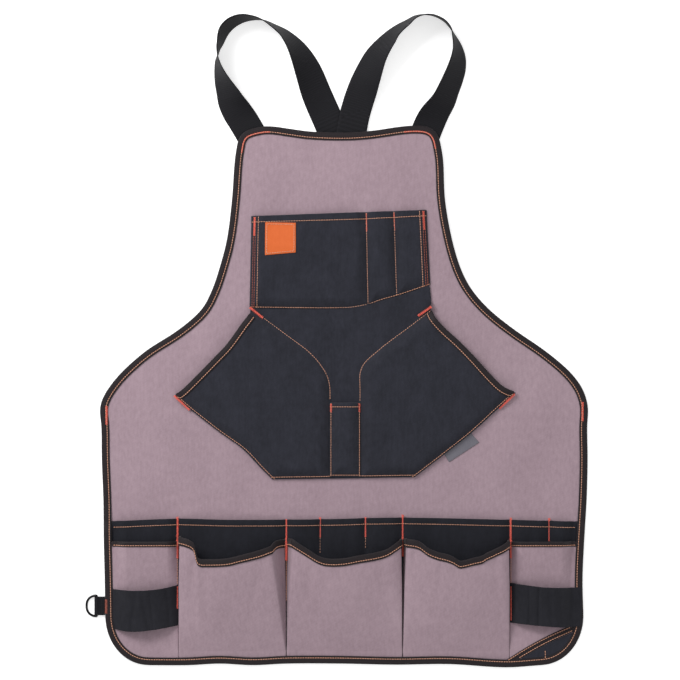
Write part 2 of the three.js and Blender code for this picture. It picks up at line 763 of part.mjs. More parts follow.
// A row's places on the two seams between the hand pockets, kept inside the row
function handSeamPlaces(r) {
  const left = handInner.left[r];
  const right = handInner.right[r];
  const seamLeft = Math.max(readOff(seamLeftLine, "y", "x", left.y), left.x + leastCell);
  const seamRight = Math.min(readOff(seamRightLine, "y", "x", right.y), right.x - leastCell);
  return [new THREE.Vector2(seamLeft, left.y), new THREE.Vector2(seamRight, right.y)];
}
function handPocket() {
  const grid = handInner.left.map((left, r) => {
    const right = handInner.right[r];
    const places = [left, ...handSeamPlaces(r), right];
    const shares = [handShares, middleShares, handShares];
    const cells = (i) => shares[i].map((share) => places[i].clone().lerp(places[i + 1], share));
    const row = shares.flatMap((_, i) => cells(i));
    const points = [handEdges.left[r], ...row, right.clone(), handEdges.right[r]];
    if (r === handRows - 1) for (const point of points) point.y = seamHeight(point.x);
    return points;
  });
  return cloth(liftGrid(grid, handUnder), pocketCloth);
}
function handBinding(hand) {
  const edge = lift(handEdges[hand].slice(handTip, handMouthEnd + 1), handUnder);
  const inner = lift(handInner[hand].slice(handTip, handMouthEnd + 1), handUnder);
  if (hand === "left") {
    edge.reverse();
    inner.reverse();
  }
  return foldedTape(edge, inner, vertical(edge), vertical(inner), () => pocketCloth);
}

// Pen pocket, on the flat cloth between the hand pockets
const penSides = [penPocket.left, penPocket.right].map((across) => [
  place({ across, up: penPocket.low }),
  place({ across, up: penPocket.high }),
]);
const penSeams = [...penSides, [penSides[0][0], penSides[1][0]]];
const penUnder = (p) => handTop(p) + gap + swell(p, penSeams, penSwell);
function penPocketCloth() {
  const grid = chestRows.map((t) =>
    divide([0, 1], () => narrowShares).map((s) => {
      const left = penSides[0][0].clone().lerp(penSides[0][1], t);
      return left.lerp(penSides[1][0].clone().lerp(penSides[1][1], t), s);
    }),
  );
  return cloth(liftGrid(grid, penUnder), pocketCloth);
}

// A small flat piece between four corners, lying on a surface
function flatPiece(corners, under, thickness) {
  const [a, b, c, d] = placeAll(corners);
  const steps = [0, 0.5, 1];
  const grid = steps.map((t) => steps.map((s) => a.clone().lerp(b, s).lerp(d.clone().lerp(c, s), t)));
  return cloth(liftGrid(grid, (p) => under(p) + gap), thickness);
}

// Back layer of the waist pockets
const hipLeft = clothEdge.left[cornerSteps + 1].x;
const hipRight = clothEdge.right[cornerSteps + 1].x;
const backSeamLines = backSeams.map((across) => [
  new THREE.Vector2(acrossAt(across), upAt(0)),
  new THREE.Vector2(acrossAt(across), upAt(1)),
]);
const backMouthUp = (x) => upAt(follow(backMouth, "across", "up", x / acrossAt(1)));
function backUnder(p) {
  const open = fade(backMouthUp(p.x) - p.y, slotFade);
  return panelTop(p) + gap + open * swell(p, backSeamLines, slotSwell, edgeTapeWidth + flatMargin);
}
const backTop = (p) => backUnder(p) + pocketCloth;

// A grid over a stretch of the waist, from the panel's edge up to a mouth, in the given columns
function waistGrid(columns, rowShares, mouthUp) {
  const { hem, left, right } = layerEdge;
  const lowest = (x) => readOff(hem, "x", "y", x);
  return rowShares.map((t) =>
    columns.map((x) => {
      const y = mix(lowest(x), mouthUp(x), t);
      const from = readOff(left, "y", "x", y);
      const to = readOff(right, "y", "x", y);
      return new THREE.Vector2(THREE.MathUtils.clamp(x, from, to), y);
    }),
  );
}
// Columns of a stretch of the waist: at its ends, at the seams between them, where the binding
// ends at the panel's edge, and at shares of what is left
function waistColumns(from, to) {
  const creaseLeft = hipLeft + edgeTapeWidth + edgeColumn;
  const creaseRight = hipRight - edgeTapeWidth - edgeColumn;
  const clearOfEnds = (x) => x > from + leastCell && x < to - leastCell;
  const marks = [from, ...[creaseLeft, ...backSeams.map(acrossAt), creaseRight].filter(clearOfEnds), to];
  return divide(marks, (i) => (marks[i] < creaseLeft || marks[i] >= creaseRight ? [0] : slotShares));
}
function backLayer(from, to) {
  return cloth(liftGrid(waistGrid(waistColumns(from, to), backRows, backMouthUp), backUnder), pocketCloth);
}

// Side pockets, between the panel's edge and the outer bellows pockets
const sideMouthUp = () => upAt(sideMouth);
function sideUnder(p) {
  const open = fade(sideMouthUp() - p.y, sideFade);
  return backTop(p) + boundRise + open * swell(p, backSeamLines, sideSwell, edgeTapeWidth + flatMargin);
}
const sideTop = (p) => sideUnder(p) + pocketCloth;
function sideGrid(from, to) {
  const columns = waistColumns(from, to);
  const tapeEdge = (x) => sideMouthUp(x) - gap - tape;
  const tapeInner = (x) => sideMouthUp(x) - mouthTapeWidth;
  const body = waistGrid(columns, [...sideRows, 1], tapeInner);
  const edge = columns.map((x, c) => new THREE.Vector2(body[body.length - 1][c].x, tapeEdge(x)));
  return [...body, edge];
}

// Bellows pockets: each row goes up a gusset wall, across the front and down the other wall.
const seamRoom = pocketCloth + gap + tape + gap / 2;
function bellowsGrid(pocket) {
  const left = acrossAt(pocket.left) + seamRoom;
  const right = acrossAt(pocket.right) - seamRoom;
  const mouth = (share) => upAt(pocket.up) - mouthSag * follow(pocket.mouth, "share", "drop", share);
  const crown = (share) => mix(wallShare, 1, Math.sin(share * Math.PI));
  const row = (openness, upOf) => {
    const foldLeft = left + foldWidth + pocket.foldLeft * openness;
    const foldRight = right - foldWidth - pocket.foldRight * openness;
    const stand = bellowsHeight * Math.sin((openness * Math.PI) / 2);
    const at = (x, share, rise) => {
      const p = new THREE.Vector2(x, upOf(share));
      return new THREE.Vector3(p.x, p.y, backTop(p) + boundRise + rise);
    };
    return [
      at(left, 0, 0),
      at((left + foldLeft) / 2, 0, stand / 2),
      ...frontShares.map((share) => at(mix(foldLeft, foldRight, share), share, stand * crown(share))),
      at((right + foldRight) / 2, 1, stand / 2),
      at(right, 1, 0),
    ];
  };
  const hem = tape + gap + layerInset + upAt(hemWave);
  const foot = hem + hemWidth;
  return [
    row(0, () => hem),
    ...bellowsRows.map((t) => row(t, (share) => mix(foot, mouth(share) - mouthTapeWidth, t))),
    row(lastBellowsRow, (share) => mouth(share) - mouthTapeWidth),
    row(1, (share) => mouth(share) - gap - tape),
  ];
}
function bellowsTape(grid, normals) {
  const last = grid.length - 1;
  return foldedTape(grid[last], grid[last - 1], normals[last], normals[last - 1], () => pocketCloth);
}

// Hammer loop: a band that stands in an arch on a side pocket
function hammerLoop(loop, from, to) {
  const grid = loopRows.map((t) =>
    loop.arch.map(({ share, height }) => {
      const p = new THREE.Vector2(mix(from, to, share), upAt(mix(loop.low, loop.high, t)));
      return new THREE.Vector3(p.x, p.y, sideTop(p) + gap + height * loopBulge);
    }),
  );
  return cloth(grid, pocketCloth, normalsOf(grid));
}

// Straps
function strap(route, hand) {
  const points = route.map((row) => new THREE.Vector3(acrossAt(row.across), upAt(row.up), 0));
  const curve = new THREE.CatmullRomCurve3(points, false, "centripetal");
  const last = route.length - 1;
  const sections = Array.from({ length: strapSteps + 1 }, (_, i) => {
    const t = i / strapSteps;
    const k = Math.min(Math.floor(t * last), last - 1);
    const between = (column) => mix(route[k][column], route[k + 1][column], t * last - k);
    const lean = THREE.MathUtils.degToRad(between("lean"));
    const ahead = curve.getTangent(t);
    const inwards = new THREE.Vector3(ahead.y, -ahead.x, 0).normalize().multiplyScalar(hand);
    const width = inwards.clone().multiplyScalar(Math.cos(lean)).setZ(Math.sin(lean));
    const face = inwards.clone().multiplyScalar(-Math.sin(lean)).setZ(Math.cos(lean));
    const edge = curve.getPoint(t).setZ(between("rise") * overlapRise);
    const far = edge.clone().addScaledVector(width, strapWidth);
    return [
      edge,
      far,
      far.clone().addScaledVector(face, webbing),
      edge.clone().addScaledVector(face, webbing),
    ];
  });
  return sweep(sections, stripCaps);
}

// Edge binding: it holds the panel alone above the waist, and the pocket layers below it.
const layerSteps = [
  { up: 0.25, height: canvasCloth + gap + pocketCloth + boundRise + pocketCloth },
  { up: 0.266, height: canvasCloth + gap + pocketCloth },
  { up: 0.275, height: canvasCloth + gap + pocketCloth },
  { up: 0.3, height: canvasCloth },
];
function edgeBinding() {
  const edge = lift(inOutline(tape + gap), restOn);
  const inner = lift(inOutline(edgeTapeWidth), restOn);
  const stack = (p) => readOff(layerSteps, "up", "height", p.y / panelLength);
  return foldedTape(edge, inner, vertical(edge), vertical(inner), stack, true);
}

function bodyPanel() {
  const { hem, right, bib, left } = clothEdge;
  return cloth(liftGrid(between(hem, bib, left, right), restOn), canvasCloth);
}

// Corner patch and its tape, in the right bottom corner inside the binding. The tape's two long
// edges run on to the binding's inner edge at the hem and at the side.
const cornerBase = (p) => sideTop(p) + gap;
const insideBy = edgeTapeWidth + cornerRoom;
const cornerTries = 8; // steps of the search for where a straight line meets the round corner
const cornerPieceSteps = 8;
const cornerHem = insideBy + upAt(hemWave);
const cornerSide = acrossAt(sides[0].right) - insideBy;
const cornerEnds = placeAll(cornerLine);
const cornerSlope = (cornerEnds[1].y - cornerEnds[0].y) / (cornerEnds[1].x - cornerEnds[0].x);
const cornerInner = { wide: cornerWidth - insideBy, high: cornerHeight - insideBy };
// The binding's inner edge at a height in the corner
function cornerInsideAt(y) {
  const rise = THREE.MathUtils.clamp((cornerHeight - y) / cornerInner.high, 0, 1);
  return cornerSide - cornerInner.wide * (1 - Math.sqrt(1 - rise * rise));
}
// Where a line that lies `drop` below the corner tape's upper edge meets the binding
function cornerCut(drop) {
  const fall = drop * Math.hypot(1, cornerSlope);
  const heightAt = (x) => cornerEnds[0].y + cornerSlope * (x - cornerEnds[0].x) - fall;
  const atHem = cornerEnds[0].x + (cornerHem - heightAt(cornerEnds[0].x)) / cornerSlope;
  let atSide = cornerSide;
  for (let i = 0; i < cornerTries; i++) atSide = cornerInsideAt(heightAt(atSide)) - gap;
  return [new THREE.Vector2(atHem, cornerHem), new THREE.Vector2(atSide, heightAt(atSide))];
}
function evenly(from, to, steps) {
  return Array.from({ length: steps + 1 }, (_, i) => from.clone().lerp(to, i / steps));
}
function cornerTape() {
  const high = evenly(...cornerCut(0), cornerPieceSteps);
  const low = evenly(...cornerCut(cornerTapeWidth), cornerPieceSteps);
  return cloth(liftGrid([low, high], cornerBase), tape);
}
function cornerPatch() {
  const [start, end] = cornerCut(cornerTapeWidth + gap);
  const turn = Array.from({ length: cornerPieceSteps + 1 }, (_, i) => {
    const angle = (i / cornerPieceSteps) * (Math.PI / 2);
    const x = cornerSide - gap - cornerInner.wide * (1 - Math.sin(angle));
    return new THREE.Vector2(x, cornerHem + cornerInner.high * (1 - Math.cos(angle)));
  }).filter((p) => p.x > start.x + leastCell && p.y < end.y - leastCell);
  const first = new THREE.Vector2(start.x + leastCell, start.y);
  const last = new THREE.Vector2(end.x, end.y - leastCell);
  const low = [first, ...turn, last];
  return cloth(liftGrid([low, evenly(start, end, low.length - 1)], cornerBase), pocketCloth);
}

// D-ring and its tab at the left hip
const ringUpMm = () => upAt(ringUp);
const hipEdge = () => readOff(leftSide, "y", "x", ringUpMm()) - gap;
function dRing() {
  const half = (ringWidth - ringWire) / 2;
  const reach = ringReach - ringWire / 2;
  const path = [];
  for (let i = 0; i <= ringSteps; i++) {
    const angle = -Math.PI / 2 + (Math.PI * i) / ringSteps;
    const flat = Math.sign(Math.sin(angle)) * Math.abs(Math.sin(angle)) ** ringSquareness;
    path.push(new THREE.Vector3(-reach * Math.cos(angle), half * flat, 0));
  }
  const count = path.length;
  const sections = path.map((point, i) => {
    const before = path[(i + count - 1) % count];
    const ahead = path[(i + 1) % count].clone().sub(before).normalize();
    const across = new THREE.Vector3(-ahead.y, ahead.x, 0);
    return Array.from({ length: wireSides }, (_, k) => {
      const angle = (2 * Math.PI * (k + 0.5)) / wireSides;
      return point
        .clone()
        .addScaledVector(across, (ringWire / 2) * Math.cos(angle))
        .setZ((ringWire / 2) * Math.sin(angle));
    });
  });
  return sweep(sections, [], true);
}
function dRingTab() {
  const hole = ringWire / 2 + gap;
  const outer = hole + tabWebbing;
  const profile = new THREE.Shape();
  profile.moveTo(tabLength, -tabWebbing);
  profile.lineTo(tabLength, tabWebbing);
  profile.absarc(0, 0, outer, tabFlare, 2 * Math.PI - tabFlare, false);
  profile.closePath();
  const opening = new THREE.Path();
  opening.absarc(0, 0, hole, 0, 2 * Math.PI, true);
  profile.holes.push(opening);
  const length = ringWidth - 2 * ringWire - 2 * tabTuck;
  const settings = { depth: length, bevelEnabled: false, curveSegments: ringSteps };
  return new THREE.ExtrudeGeometry(profile, settings).translate(0, 0, -length / 2);
}

// Assembly
const apron = new THREE.Group();
function add(name, geometry, color, roughness = 0.9, metalness = 0) {
  const mesh = new THREE.Mesh(geometry, new THREE.MeshStandardMaterial({ color, roughness, metalness }));
  mesh.name = name;
  apron.add(mesh);
  return mesh;
}

add("body_panel", bodyPanel(), canvasGrey);
add("edge_binding", edgeBinding(), tapeBlack);
add("strap_left", strap(strapLeftRoute, 1), webbingBlack);
add("strap_right", strap(strapRightRoute, -1), webbingBlack);

add("chest_pocket", chestPocket(), clothBlack);
add("hand_pocket", handPocket(), clothBlack);
add("hand_binding_left", handBinding("left"), tapeBlack);
add("hand_binding_right", handBinding("right"), tapeBlack);
add("pen_pocket", penPocketCloth(), clothBlack);
add("front_label", flatPiece(labelCorners, chestTop, labelCloth), labelOrange);
add("side_tag", flatPiece(tagCorners, panelTop, labelCloth), tagGrey);

const backEnds = [hipLeft, acrossAt(bellows[0].right), acrossAt(bellows[1].right), hipRight];
["left", "middle", "right"].forEach((name, i) => {
  const room = (end) => (end === 0 || end === 3 ? 0 : gap / 2);
  const layer = backLayer(backEnds[i] + room(i), backEnds[i + 1] - room(i + 1));
  add(`back_layer_${name}`, layer, clothBlack);
});

const sideLeftEnd = acrossAt(bellows[0].left) - gap;
const sideRightEnd = acrossAt(bellows[2].right) + gap;
const bindingInside = partsOf(inOutline(edgeTapeWidth + 2 * gap));
const sidePockets = [
  { name: "left", from: hipLeft, to: sideLeftEnd },
  { name: "right", from: sideRightEnd, to: hipRight },
];
for (const { name, from, to } of sidePockets) {
  const grid = sideGrid(from, to);
  add(`side_pocket_${name}`, cloth(liftGrid(grid, sideUnder), pocketCloth), canvasGrey);
  const last = grid.length - 1;
  const start = readOff(bindingInside.left, "y", "x", sideMouthUp());
  const end = readOff(bindingInside.right, "y", "x", sideMouthUp());
  const inView = (line) => line.map((p) => new THREE.Vector2(THREE.MathUtils.clamp(p.x, start, end), p.y));
  const edge = lift(inView(grid[last]), sideUnder);
  const inner = lift(inView(grid[last - 1]), sideUnder);
  const binding = foldedTape(edge, inner, vertical(edge), vertical(inner), () => pocketCloth);
  add(`side_binding_${name}`, binding, tapeBlack);
}

for (const pocket of bellows) {
  const grid = bellowsGrid(pocket);
  const normals = normalsOf(grid);
  add(pocket.name, cloth(grid, pocketCloth, normals), canvasGrey);
  add(pocket.name.replace("pocket", "binding"), bellowsTape(grid, normals), tapeBlack);
}

const loopStart = Math.max(
  ...[loopLeft.low, loopLeft.high].map((share) => readOff(bindingInside.left, "y", "x", upAt(share))),
);
const loopOverEdge = readOff(rightSide, "y", "x", upAt(loopRight.low));
add(loopLeft.name, hammerLoop(loopLeft, loopStart, sideLeftEnd - gap), clothBlack);
add(loopRight.name, hammerLoop(loopRight, sideRightEnd + gap, loopOverEdge), clothBlack);
add("corner_tape", cornerTape(), tapeBlack);
add("corner_patch", cornerPatch(), clothBlack);

const hip = new THREE.Group();
hip.position.set(hipEdge() - tabLength, ringUpMm(), barHeight);
const ring = add("d_ring", dRing(), ringBlack, 0.35, 0.9);
const tab = add("d_ring_tab", dRingTab(), webbingBlack);
ring.rotation.y = -Math.asin((barHeight - ringWire / 2) / (ringReach - ringWire / 2));
tab.rotation.x = Math.PI / 2;
hip.add(ring, tab);
apron.add(hip);

// The frame's origin is under the middle of the whole apron.
const extent = new THREE.Box3().setFromObject(apron);
const middle = extent.getCenter(new THREE.Vector3());
apron.position.set(-middle.x, -middle.y, 0);
const part = new THREE.Group();
part.add(apron);

export default part;
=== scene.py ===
"""A bib tool apron lying face up on a pale floor, its two strap loops standing on edge.

Every surface is a grid of points from a height function over the apron's plane, in
millimetres: x to the right of the bib's middle line, y up from the hem, z off the floor.
Meshes are moved into the frame, in metres, when they are made. Nothing is simulated.
"""
import math

import bpy
import numpy as np
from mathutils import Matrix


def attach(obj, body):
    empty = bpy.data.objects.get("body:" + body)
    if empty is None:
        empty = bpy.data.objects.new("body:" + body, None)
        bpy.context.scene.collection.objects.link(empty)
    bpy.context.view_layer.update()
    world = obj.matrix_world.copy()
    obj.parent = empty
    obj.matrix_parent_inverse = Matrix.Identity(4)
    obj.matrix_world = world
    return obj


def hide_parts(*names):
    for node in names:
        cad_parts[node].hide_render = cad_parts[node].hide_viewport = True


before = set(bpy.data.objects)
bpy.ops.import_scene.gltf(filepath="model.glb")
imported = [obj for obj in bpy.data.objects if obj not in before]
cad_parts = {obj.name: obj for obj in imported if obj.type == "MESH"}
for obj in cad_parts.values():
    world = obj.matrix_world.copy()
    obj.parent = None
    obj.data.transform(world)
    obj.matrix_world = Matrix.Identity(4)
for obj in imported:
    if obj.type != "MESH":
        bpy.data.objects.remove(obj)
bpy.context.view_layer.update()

# The hem's middle in the frame, in millimetres
ORIGIN = np.array([9.10, -405.54, 0.0])

# The apron's plane
HALF_WIDTH = 305
LENGTH = 674
CORNER_WIDTH = 54
CORNER_HEIGHT = 61.3

# Cloth
CANVAS = 1.2
CLOTH = 1.0
LABEL = 0.7
GAP = 0.3
TAPE = 0.9
EDGE_TAPE = 10
MOUTH_TAPE = 9
WAIST_TAPE = 6.5
WEBBING = 1.5
STRAP_WIDTH = 38
BOUND_RISE = GAP + TAPE + GAP
OVERLAP_RISE = WEBBING + GAP
PANEL_REST = TAPE + GAP
ON_TAPE = GAP + TAPE - 0.1  # of thread, over what a tape is folded round

# Pockets, as in the frame's solids
SLOPE = 15
CHEST_SWELL = 7
HAND_SWELL = 7.5
PEN_SWELL = 7
SLOT_SWELL = 7
SLOT_FADE = 120
SIDE_SWELL = 7
SIDE_FADE = 70
FLAT_MARGIN = 5
SIDE_MOUTH = 155
BELLOWS_HEIGHT = 22
MOUTH_SAG = 25
LOOP_BULGE = 13
LOOP_LOWEST = 2.5

# Sewing; thread is given by its radius
STITCH_PITCH = 3.1
STITCH_LENGTH = 2.6
THREAD = 0.5
FINE_THREAD = 0.42
THIN_THREAD = 0.36
TACK_PITCH = 0.8
TACK_WIDTH = 3.4
CORNER_TACK_WIDTH = 2.0
TAPE_STITCH = 0.31  # where a tape is sewn, as a share of its width
HAND_TAPE_STITCH = 0.22
SAMPLE = 1.2  # between the points of a line to sew

OUTLINE_COUNT = 1000


def at(rows):
    """A table of shares of half the width and of the length, in millimetres."""
    return np.array(rows, float) * [HALF_WIDTH, LENGTH]


SIDE_ROWS = np.array([
    (0.091, 0.978, 0.981), (0.158, 0.98, 0.977), (0.232, 0.984, 0.984), (0.306, 0.986, 0.994),
    (0.38, 0.992, 0.998), (0.445, 0.994, 0.996), (0.471, 1.0, 1.0), (0.491, 0.992, 0.994),
    (0.517, 0.959, 0.971), (0.547, 0.902, 0.918), (0.584, 0.807, 0.82), (0.621, 0.68, 0.701),
    (0.658, 0.586, 0.598), (0.695, 0.541, 0.525), (0.733, 0.512, 0.48), (0.788, 0.48, 0.443),
    (0.862, 0.459, 0.414), (0.937, 0.447, 0.406), (0.974, 0.434, 0.392),
]) * [LENGTH, HALF_WIDTH, HALF_WIDTH]
BIB_EDGE = at([
    (-0.434, 0.974), (-0.414, 0.987), (-0.369, 0.995), (-0.311, 0.999), (-0.221, 0.994),
    (-0.139, 0.989), (0.004, 0.987), (0.107, 0.99), (0.23, 0.998), (0.287, 1.0),
    (0.34, 0.998), (0.377, 0.988), (0.392, 0.974),
])
HEM_EDGE = at([
    (-0.795, 0), (-0.639, 0), (-0.508, 0.003), (-0.373, 0), (-0.234, 0.003), (-0.016, 0.003),
    (0.209, 0.001), (0.434, 0.002), (0.66, -0.004), (0.804, 0),
])
REST_STEPS = np.array([
    (0.306, PANEL_REST), (0.445, PANEL_REST + OVERLAP_RISE),
    (0.733, PANEL_REST + OVERLAP_RISE), (0.862, PANEL_REST + 2 * OVERLAP_RISE),
]) * [LENGTH, 1]

# Each strap's outer floor edge: across, up, lean in degrees, rise over the other strap
STRAP_LEFT = [
    (-0.385, 0.931, 0, 1), (-0.426, 0.963, 0, 1), (-0.463, 0.992, 0, 1), (-0.492, 1.014, 12, 0.8),
    (-0.512, 1.037, 26, 0.4), (-0.52, 1.059, 43, 0), (-0.527, 1.081, 58, 0), (-0.528, 1.103, 72, 0),
    (-0.523, 1.122, 83, 0), (-0.514, 1.131, 90, 0), (-0.506, 1.141, 95, 0), (-0.495, 1.149, 100, 0),
    (-0.484, 1.159, 105, 0), (-0.47, 1.17, 109, 0), (-0.447, 1.181, 108, 0), (-0.418, 1.189, 104, 0),
    (-0.385, 1.194, 97, 0), (-0.334, 1.195, 86, 0), (-0.275, 1.185, 78, 0), (-0.225, 1.174, 70, 0),
    (-0.16, 1.15, 48, 0), (-0.103, 1.115, 29, 0), (-0.053, 1.066, 6, 0), (-0.016, 1.029, 0, 0),
    (0.057, 0.956, 0, 0), (0.148, 0.896, 0, 0), (0.277, 0.82, 0, 0), (0.563, 0.662, 0, 0),
    (0.805, 0.545, 0, 0), (0.964, 0.49, 0, 0),
]
STRAP_RIGHT = [
    (0.352, 0.931, 0, 1), (0.381, 0.963, 0, 1), (0.406, 0.992, 5, 1), (0.426, 1.014, 24, 0.8),
    (0.451, 1.037, 38.5, 0.4), (0.467, 1.059, 44.5, 0), (0.484, 1.081, 47.5, 0), (0.496, 1.103, 51, 0),
    (0.496, 1.126, 57, 0), (0.48, 1.148, 69, 0), (0.449, 1.17, 86, 0), (0.432, 1.181, 89, 0),
    (0.41, 1.192, 89, 0), (0.381, 1.2, 88, 0), (0.355, 1.204, 87, 0), (0.32, 1.205, 85, 0),
    (0.287, 1.202, 82, 0), (0.257, 1.195, 77, 0), (0.217, 1.186, 71, 0), (0.176, 1.174, 64, 0),
    (0.098, 1.141, 42, 0.1), (0.041, 1.098, 20, 0.6), (0.012, 1.068, 5, 1), (-0.014, 1.031, 0, 1),
    (-0.051, 0.955, 0, 1), (-0.139, 0.881, 0, 1), (-0.277, 0.82, 0, 0.4), (-0.385, 0.766, 0, 0),
    (-0.563, 0.662, 0, 0), (-0.805, 0.545, 0, 0), (-0.964, 0.49, 0, 0),
]

CHEST_TOP = at([(-0.377, 0.831), (0.336, 0.8425)])
CHEST_SEAM = at([
    (-0.385, 0.662), (0.004, 0.661), (0.093, 0.667), (0.159, 0.677), (0.222, 0.685), (0.352, 0.705),
])
PEN_SLOTS = [0.656, 0.815]
CHEST_COLUMNS = [0, *PEN_SLOTS, 1]
HAND_EDGE_LEFT = at([
    (-0.299, 0.345), (-0.344, 0.365), (-0.422, 0.402), (-0.52, 0.434), (-0.636, 0.475),
    (-0.699, 0.5),
])
HAND_MOUTH_LEFT = at([
    (-0.699, 0.5), (-0.664, 0.51), (-0.59, 0.543), (-0.534, 0.569), (-0.48, 0.595),
    (-0.426, 0.629), (-0.389, 0.651),
])
HAND_EDGE_RIGHT = at([
    (0.295, 0.349), (0.41, 0.389), (0.535, 0.434), (0.641, 0.478), (0.708, 0.505),
])
HAND_MOUTH_RIGHT = at([
    (0.708, 0.505), (0.653, 0.516), (0.598, 0.54), (0.54, 0.569), (0.48, 0.597), (0.422, 0.621),
    (0.379, 0.642), (0.363, 0.656),
])
HAND_SEAM_LEFT = at([
    (-0.057, 0.349), (-0.057, 0.486), (-0.063, 0.527), (-0.094, 0.555), (-0.148, 0.582),
    (-0.242, 0.614), (-0.37, 0.657),
])
HAND_SEAM_RIGHT = at([
    (0.068, 0.349), (0.066, 0.499), (0.073, 0.551), (0.148, 0.586), (0.262, 0.625), (0.355, 0.657),
])
PEN_LEFT, PEN_RIGHT, PEN_LOW, PEN_HIGH = -0.053, 0.064, 0.35, 0.486
TAG = at([(0.43, 0.377), (0.552, 0.413), (0.505, 0.437), (0.4, 0.402)])
FRONT_LABEL = at([(-0.322, 0.76), (-0.198, 0.765), (-0.198, 0.819), (-0.321, 0.82)])
BACK_MOUTH = at([
    (-1, 0.265), (-0.684, 0.271), (-0.467, 0.269), (-0.098, 0.27), (0.23, 0.273), (0.676, 0.269),
    (1, 0.265),
])
BACK_SEAMS = np.array([-0.678, -0.236, -0.098, 0.088, 0.24, 0.679, 0.84]) * HALF_WIDTH

# Each bellows pocket: its seams, how far its folds stand in at the mouth, its mouth's height, the
# mouth's line as shares of the front's width and of the sag, and the drop at its two seams
BELLOWS = {
    "left": (-0.678, -0.236, 0.6, 16.5, 0.2355, [
        (0, -0.1), (0.06, -0.04), (0.12, 0.08), (0.155, 0.24), (0.175, 0.6), (0.2, 0.92), (0.29, 0.99),
        (0.52, 0.94), (0.66, 0.79), (0.81, 0.62), (0.92, 0.47), (1, 0.33)], -0.12, 0.05),
    "middle": (-0.236, 0.24, 5.5, 0.8, 0.237, [
        (0, 0.03), (0.053, 0.23), (0.15, 0.56), (0.23, 0.83), (0.31, 0.98), (0.46, 0.98), (0.62, 0.83),
        (0.78, 0.68), (0.88, 0.51), (0.945, 0.28), (1, 0.06)], 0.03, 0.05),
    "right": (0.24, 0.679, 3, 0.6, 0.2365, [
        (0, 0.01), (0.115, 0.12), (0.21, 0.46), (0.3, 0.65), (0.394, 0.77), (0.46, 0.91), (0.515, 1.08),
        (0.57, 1.05), (0.654, 0.94), (0.745, 0.83), (0.78, 0.71), (0.852, 0.54), (0.952, 0.29),
        (1, 0.12)], 0.01, 0.1),
}


# Curves and lines

def follow(table, where):
    """The smooth curve through a table of two columns, read at many places.

    Between two rows it is a cubic whose end slopes are the mean slopes about the rows.
    """
    xs, ys = np.asarray(table, float).T
    slope = np.empty_like(ys)
    slope[1:-1] = (ys[2:] - ys[:-2]) / (xs[2:] - xs[:-2])
    slope[0] = (ys[1] - ys[0]) / (xs[1] - xs[0])
    slope[-1] = (ys[-1] - ys[-2]) / (xs[-1] - xs[-2])
    where = np.asarray(where, float)
    i = np.clip(np.searchsorted(xs, where) - 1, 0, len(xs) - 2)
    span = xs[i + 1] - xs[i]
    t = np.clip((where - xs[i]) / span, 0, 1)
    rise = ys[i + 1] - ys[i]
    bend = slope[i] * span - rise
    turn = rise - slope[i + 1] * span
    return ys[i] + t * rise + t * (1 - t) * ((1 - t) * bend + t * turn)


def lengths(line):
    """How far along a line each of its points is."""
    steps = np.linalg.norm(np.diff(line, axis=0), axis=1)
    return np.concatenate([[0], np.cumsum(steps)])


def spaced(line, count):
    """A line's points again, evenly spaced along it."""
    line = np.asarray(line, float)
    far = lengths(line)
    where = np.linspace(0, far[-1], count)
    return np.stack([np.interp(where, far, line[:, k]) for k in range(line.shape[1])], 1)


def curve(points, per_span=12, closed=False):
    """The Catmull-Rom curve through points: each span's end slopes are half the way between
    the span's neighbours."""
    p = np.asarray(points, float)
    p = np.concatenate([p[-1:], p, p[:2]]) if closed else np.concatenate([p[:1], p, p[-1:]])
    t = np.linspace(0, 1, per_span, endpoint=False)[:, None]
    spans = []
    for a, b, c, d in zip(p[:-3], p[1:-2], p[2:-1], p[3:]):
        spans.append(0.5 * (2 * b + (c - a) * t + (2 * a - 5 * b + 4 * c - d) * t ** 2
                            + (3 * b - a - 3 * c + d) * t ** 3))
    return np.concatenate(spans + [p[-2:-1]])


def aside(line, distance, closed=False):
    """A line moved to its left hand by a distance, along its smoothed normals."""
    if closed:
        ahead = np.roll(line, -1, 0) - np.roll(line, 1, 0)
    else:
        ahead = np.gradient(line, axis=0)
    ahead = ahead / np.linalg.norm(ahead, axis=1, keepdims=True)
    return line + np.stack([-ahead[:, 1], ahead[:, 0]], 1) * np.asarray(distance).reshape(-1, 1)


def near(x, y, line):
    """The distance from each place to a line, and how far along it the nearest point is."""
    p = np.stack([np.ravel(x), np.ravel(y)], 1)
    least = np.full(len(p), np.inf)
    along = np.zeros(len(p))
    start = 0.0
    for a, b in zip(line[:-1], line[1:]):
        ab = b - a
        length = math.hypot(*ab)
        t = np.clip((p - a) @ ab / length ** 2, 0, 1)
        d = np.hypot(*(p - a - t[:, None] * ab).T)
        closer = d < least
        least[closer] = d[closer]
        along[closer] = start + t[closer] * length
        start += length
    return least.reshape(np.shape(x)), along.reshape(np.shape(x))


def unit(v):
    """Vectors at length one."""
    return v / np.maximum(np.linalg.norm(v, axis=-1, keepdims=True), 1e-9)


# The outline, anticlockwise from the left bottom corner, with its four parts

def hem_height(x):
    """How high the hem line lies at a place across."""
    return follow(HEM_EDGE, x)


def corner_arc(hand, side, steps=14):
    """A round bottom corner: a quarter of an ellipse from the hem to the side."""
    angle = np.linspace(math.pi / 2, 0, steps)
    x = hand * (side - CORNER_WIDTH * (1 - np.cos(angle)))
    return np.stack([x, CORNER_HEIGHT * (1 - np.sin(angle))], 1)


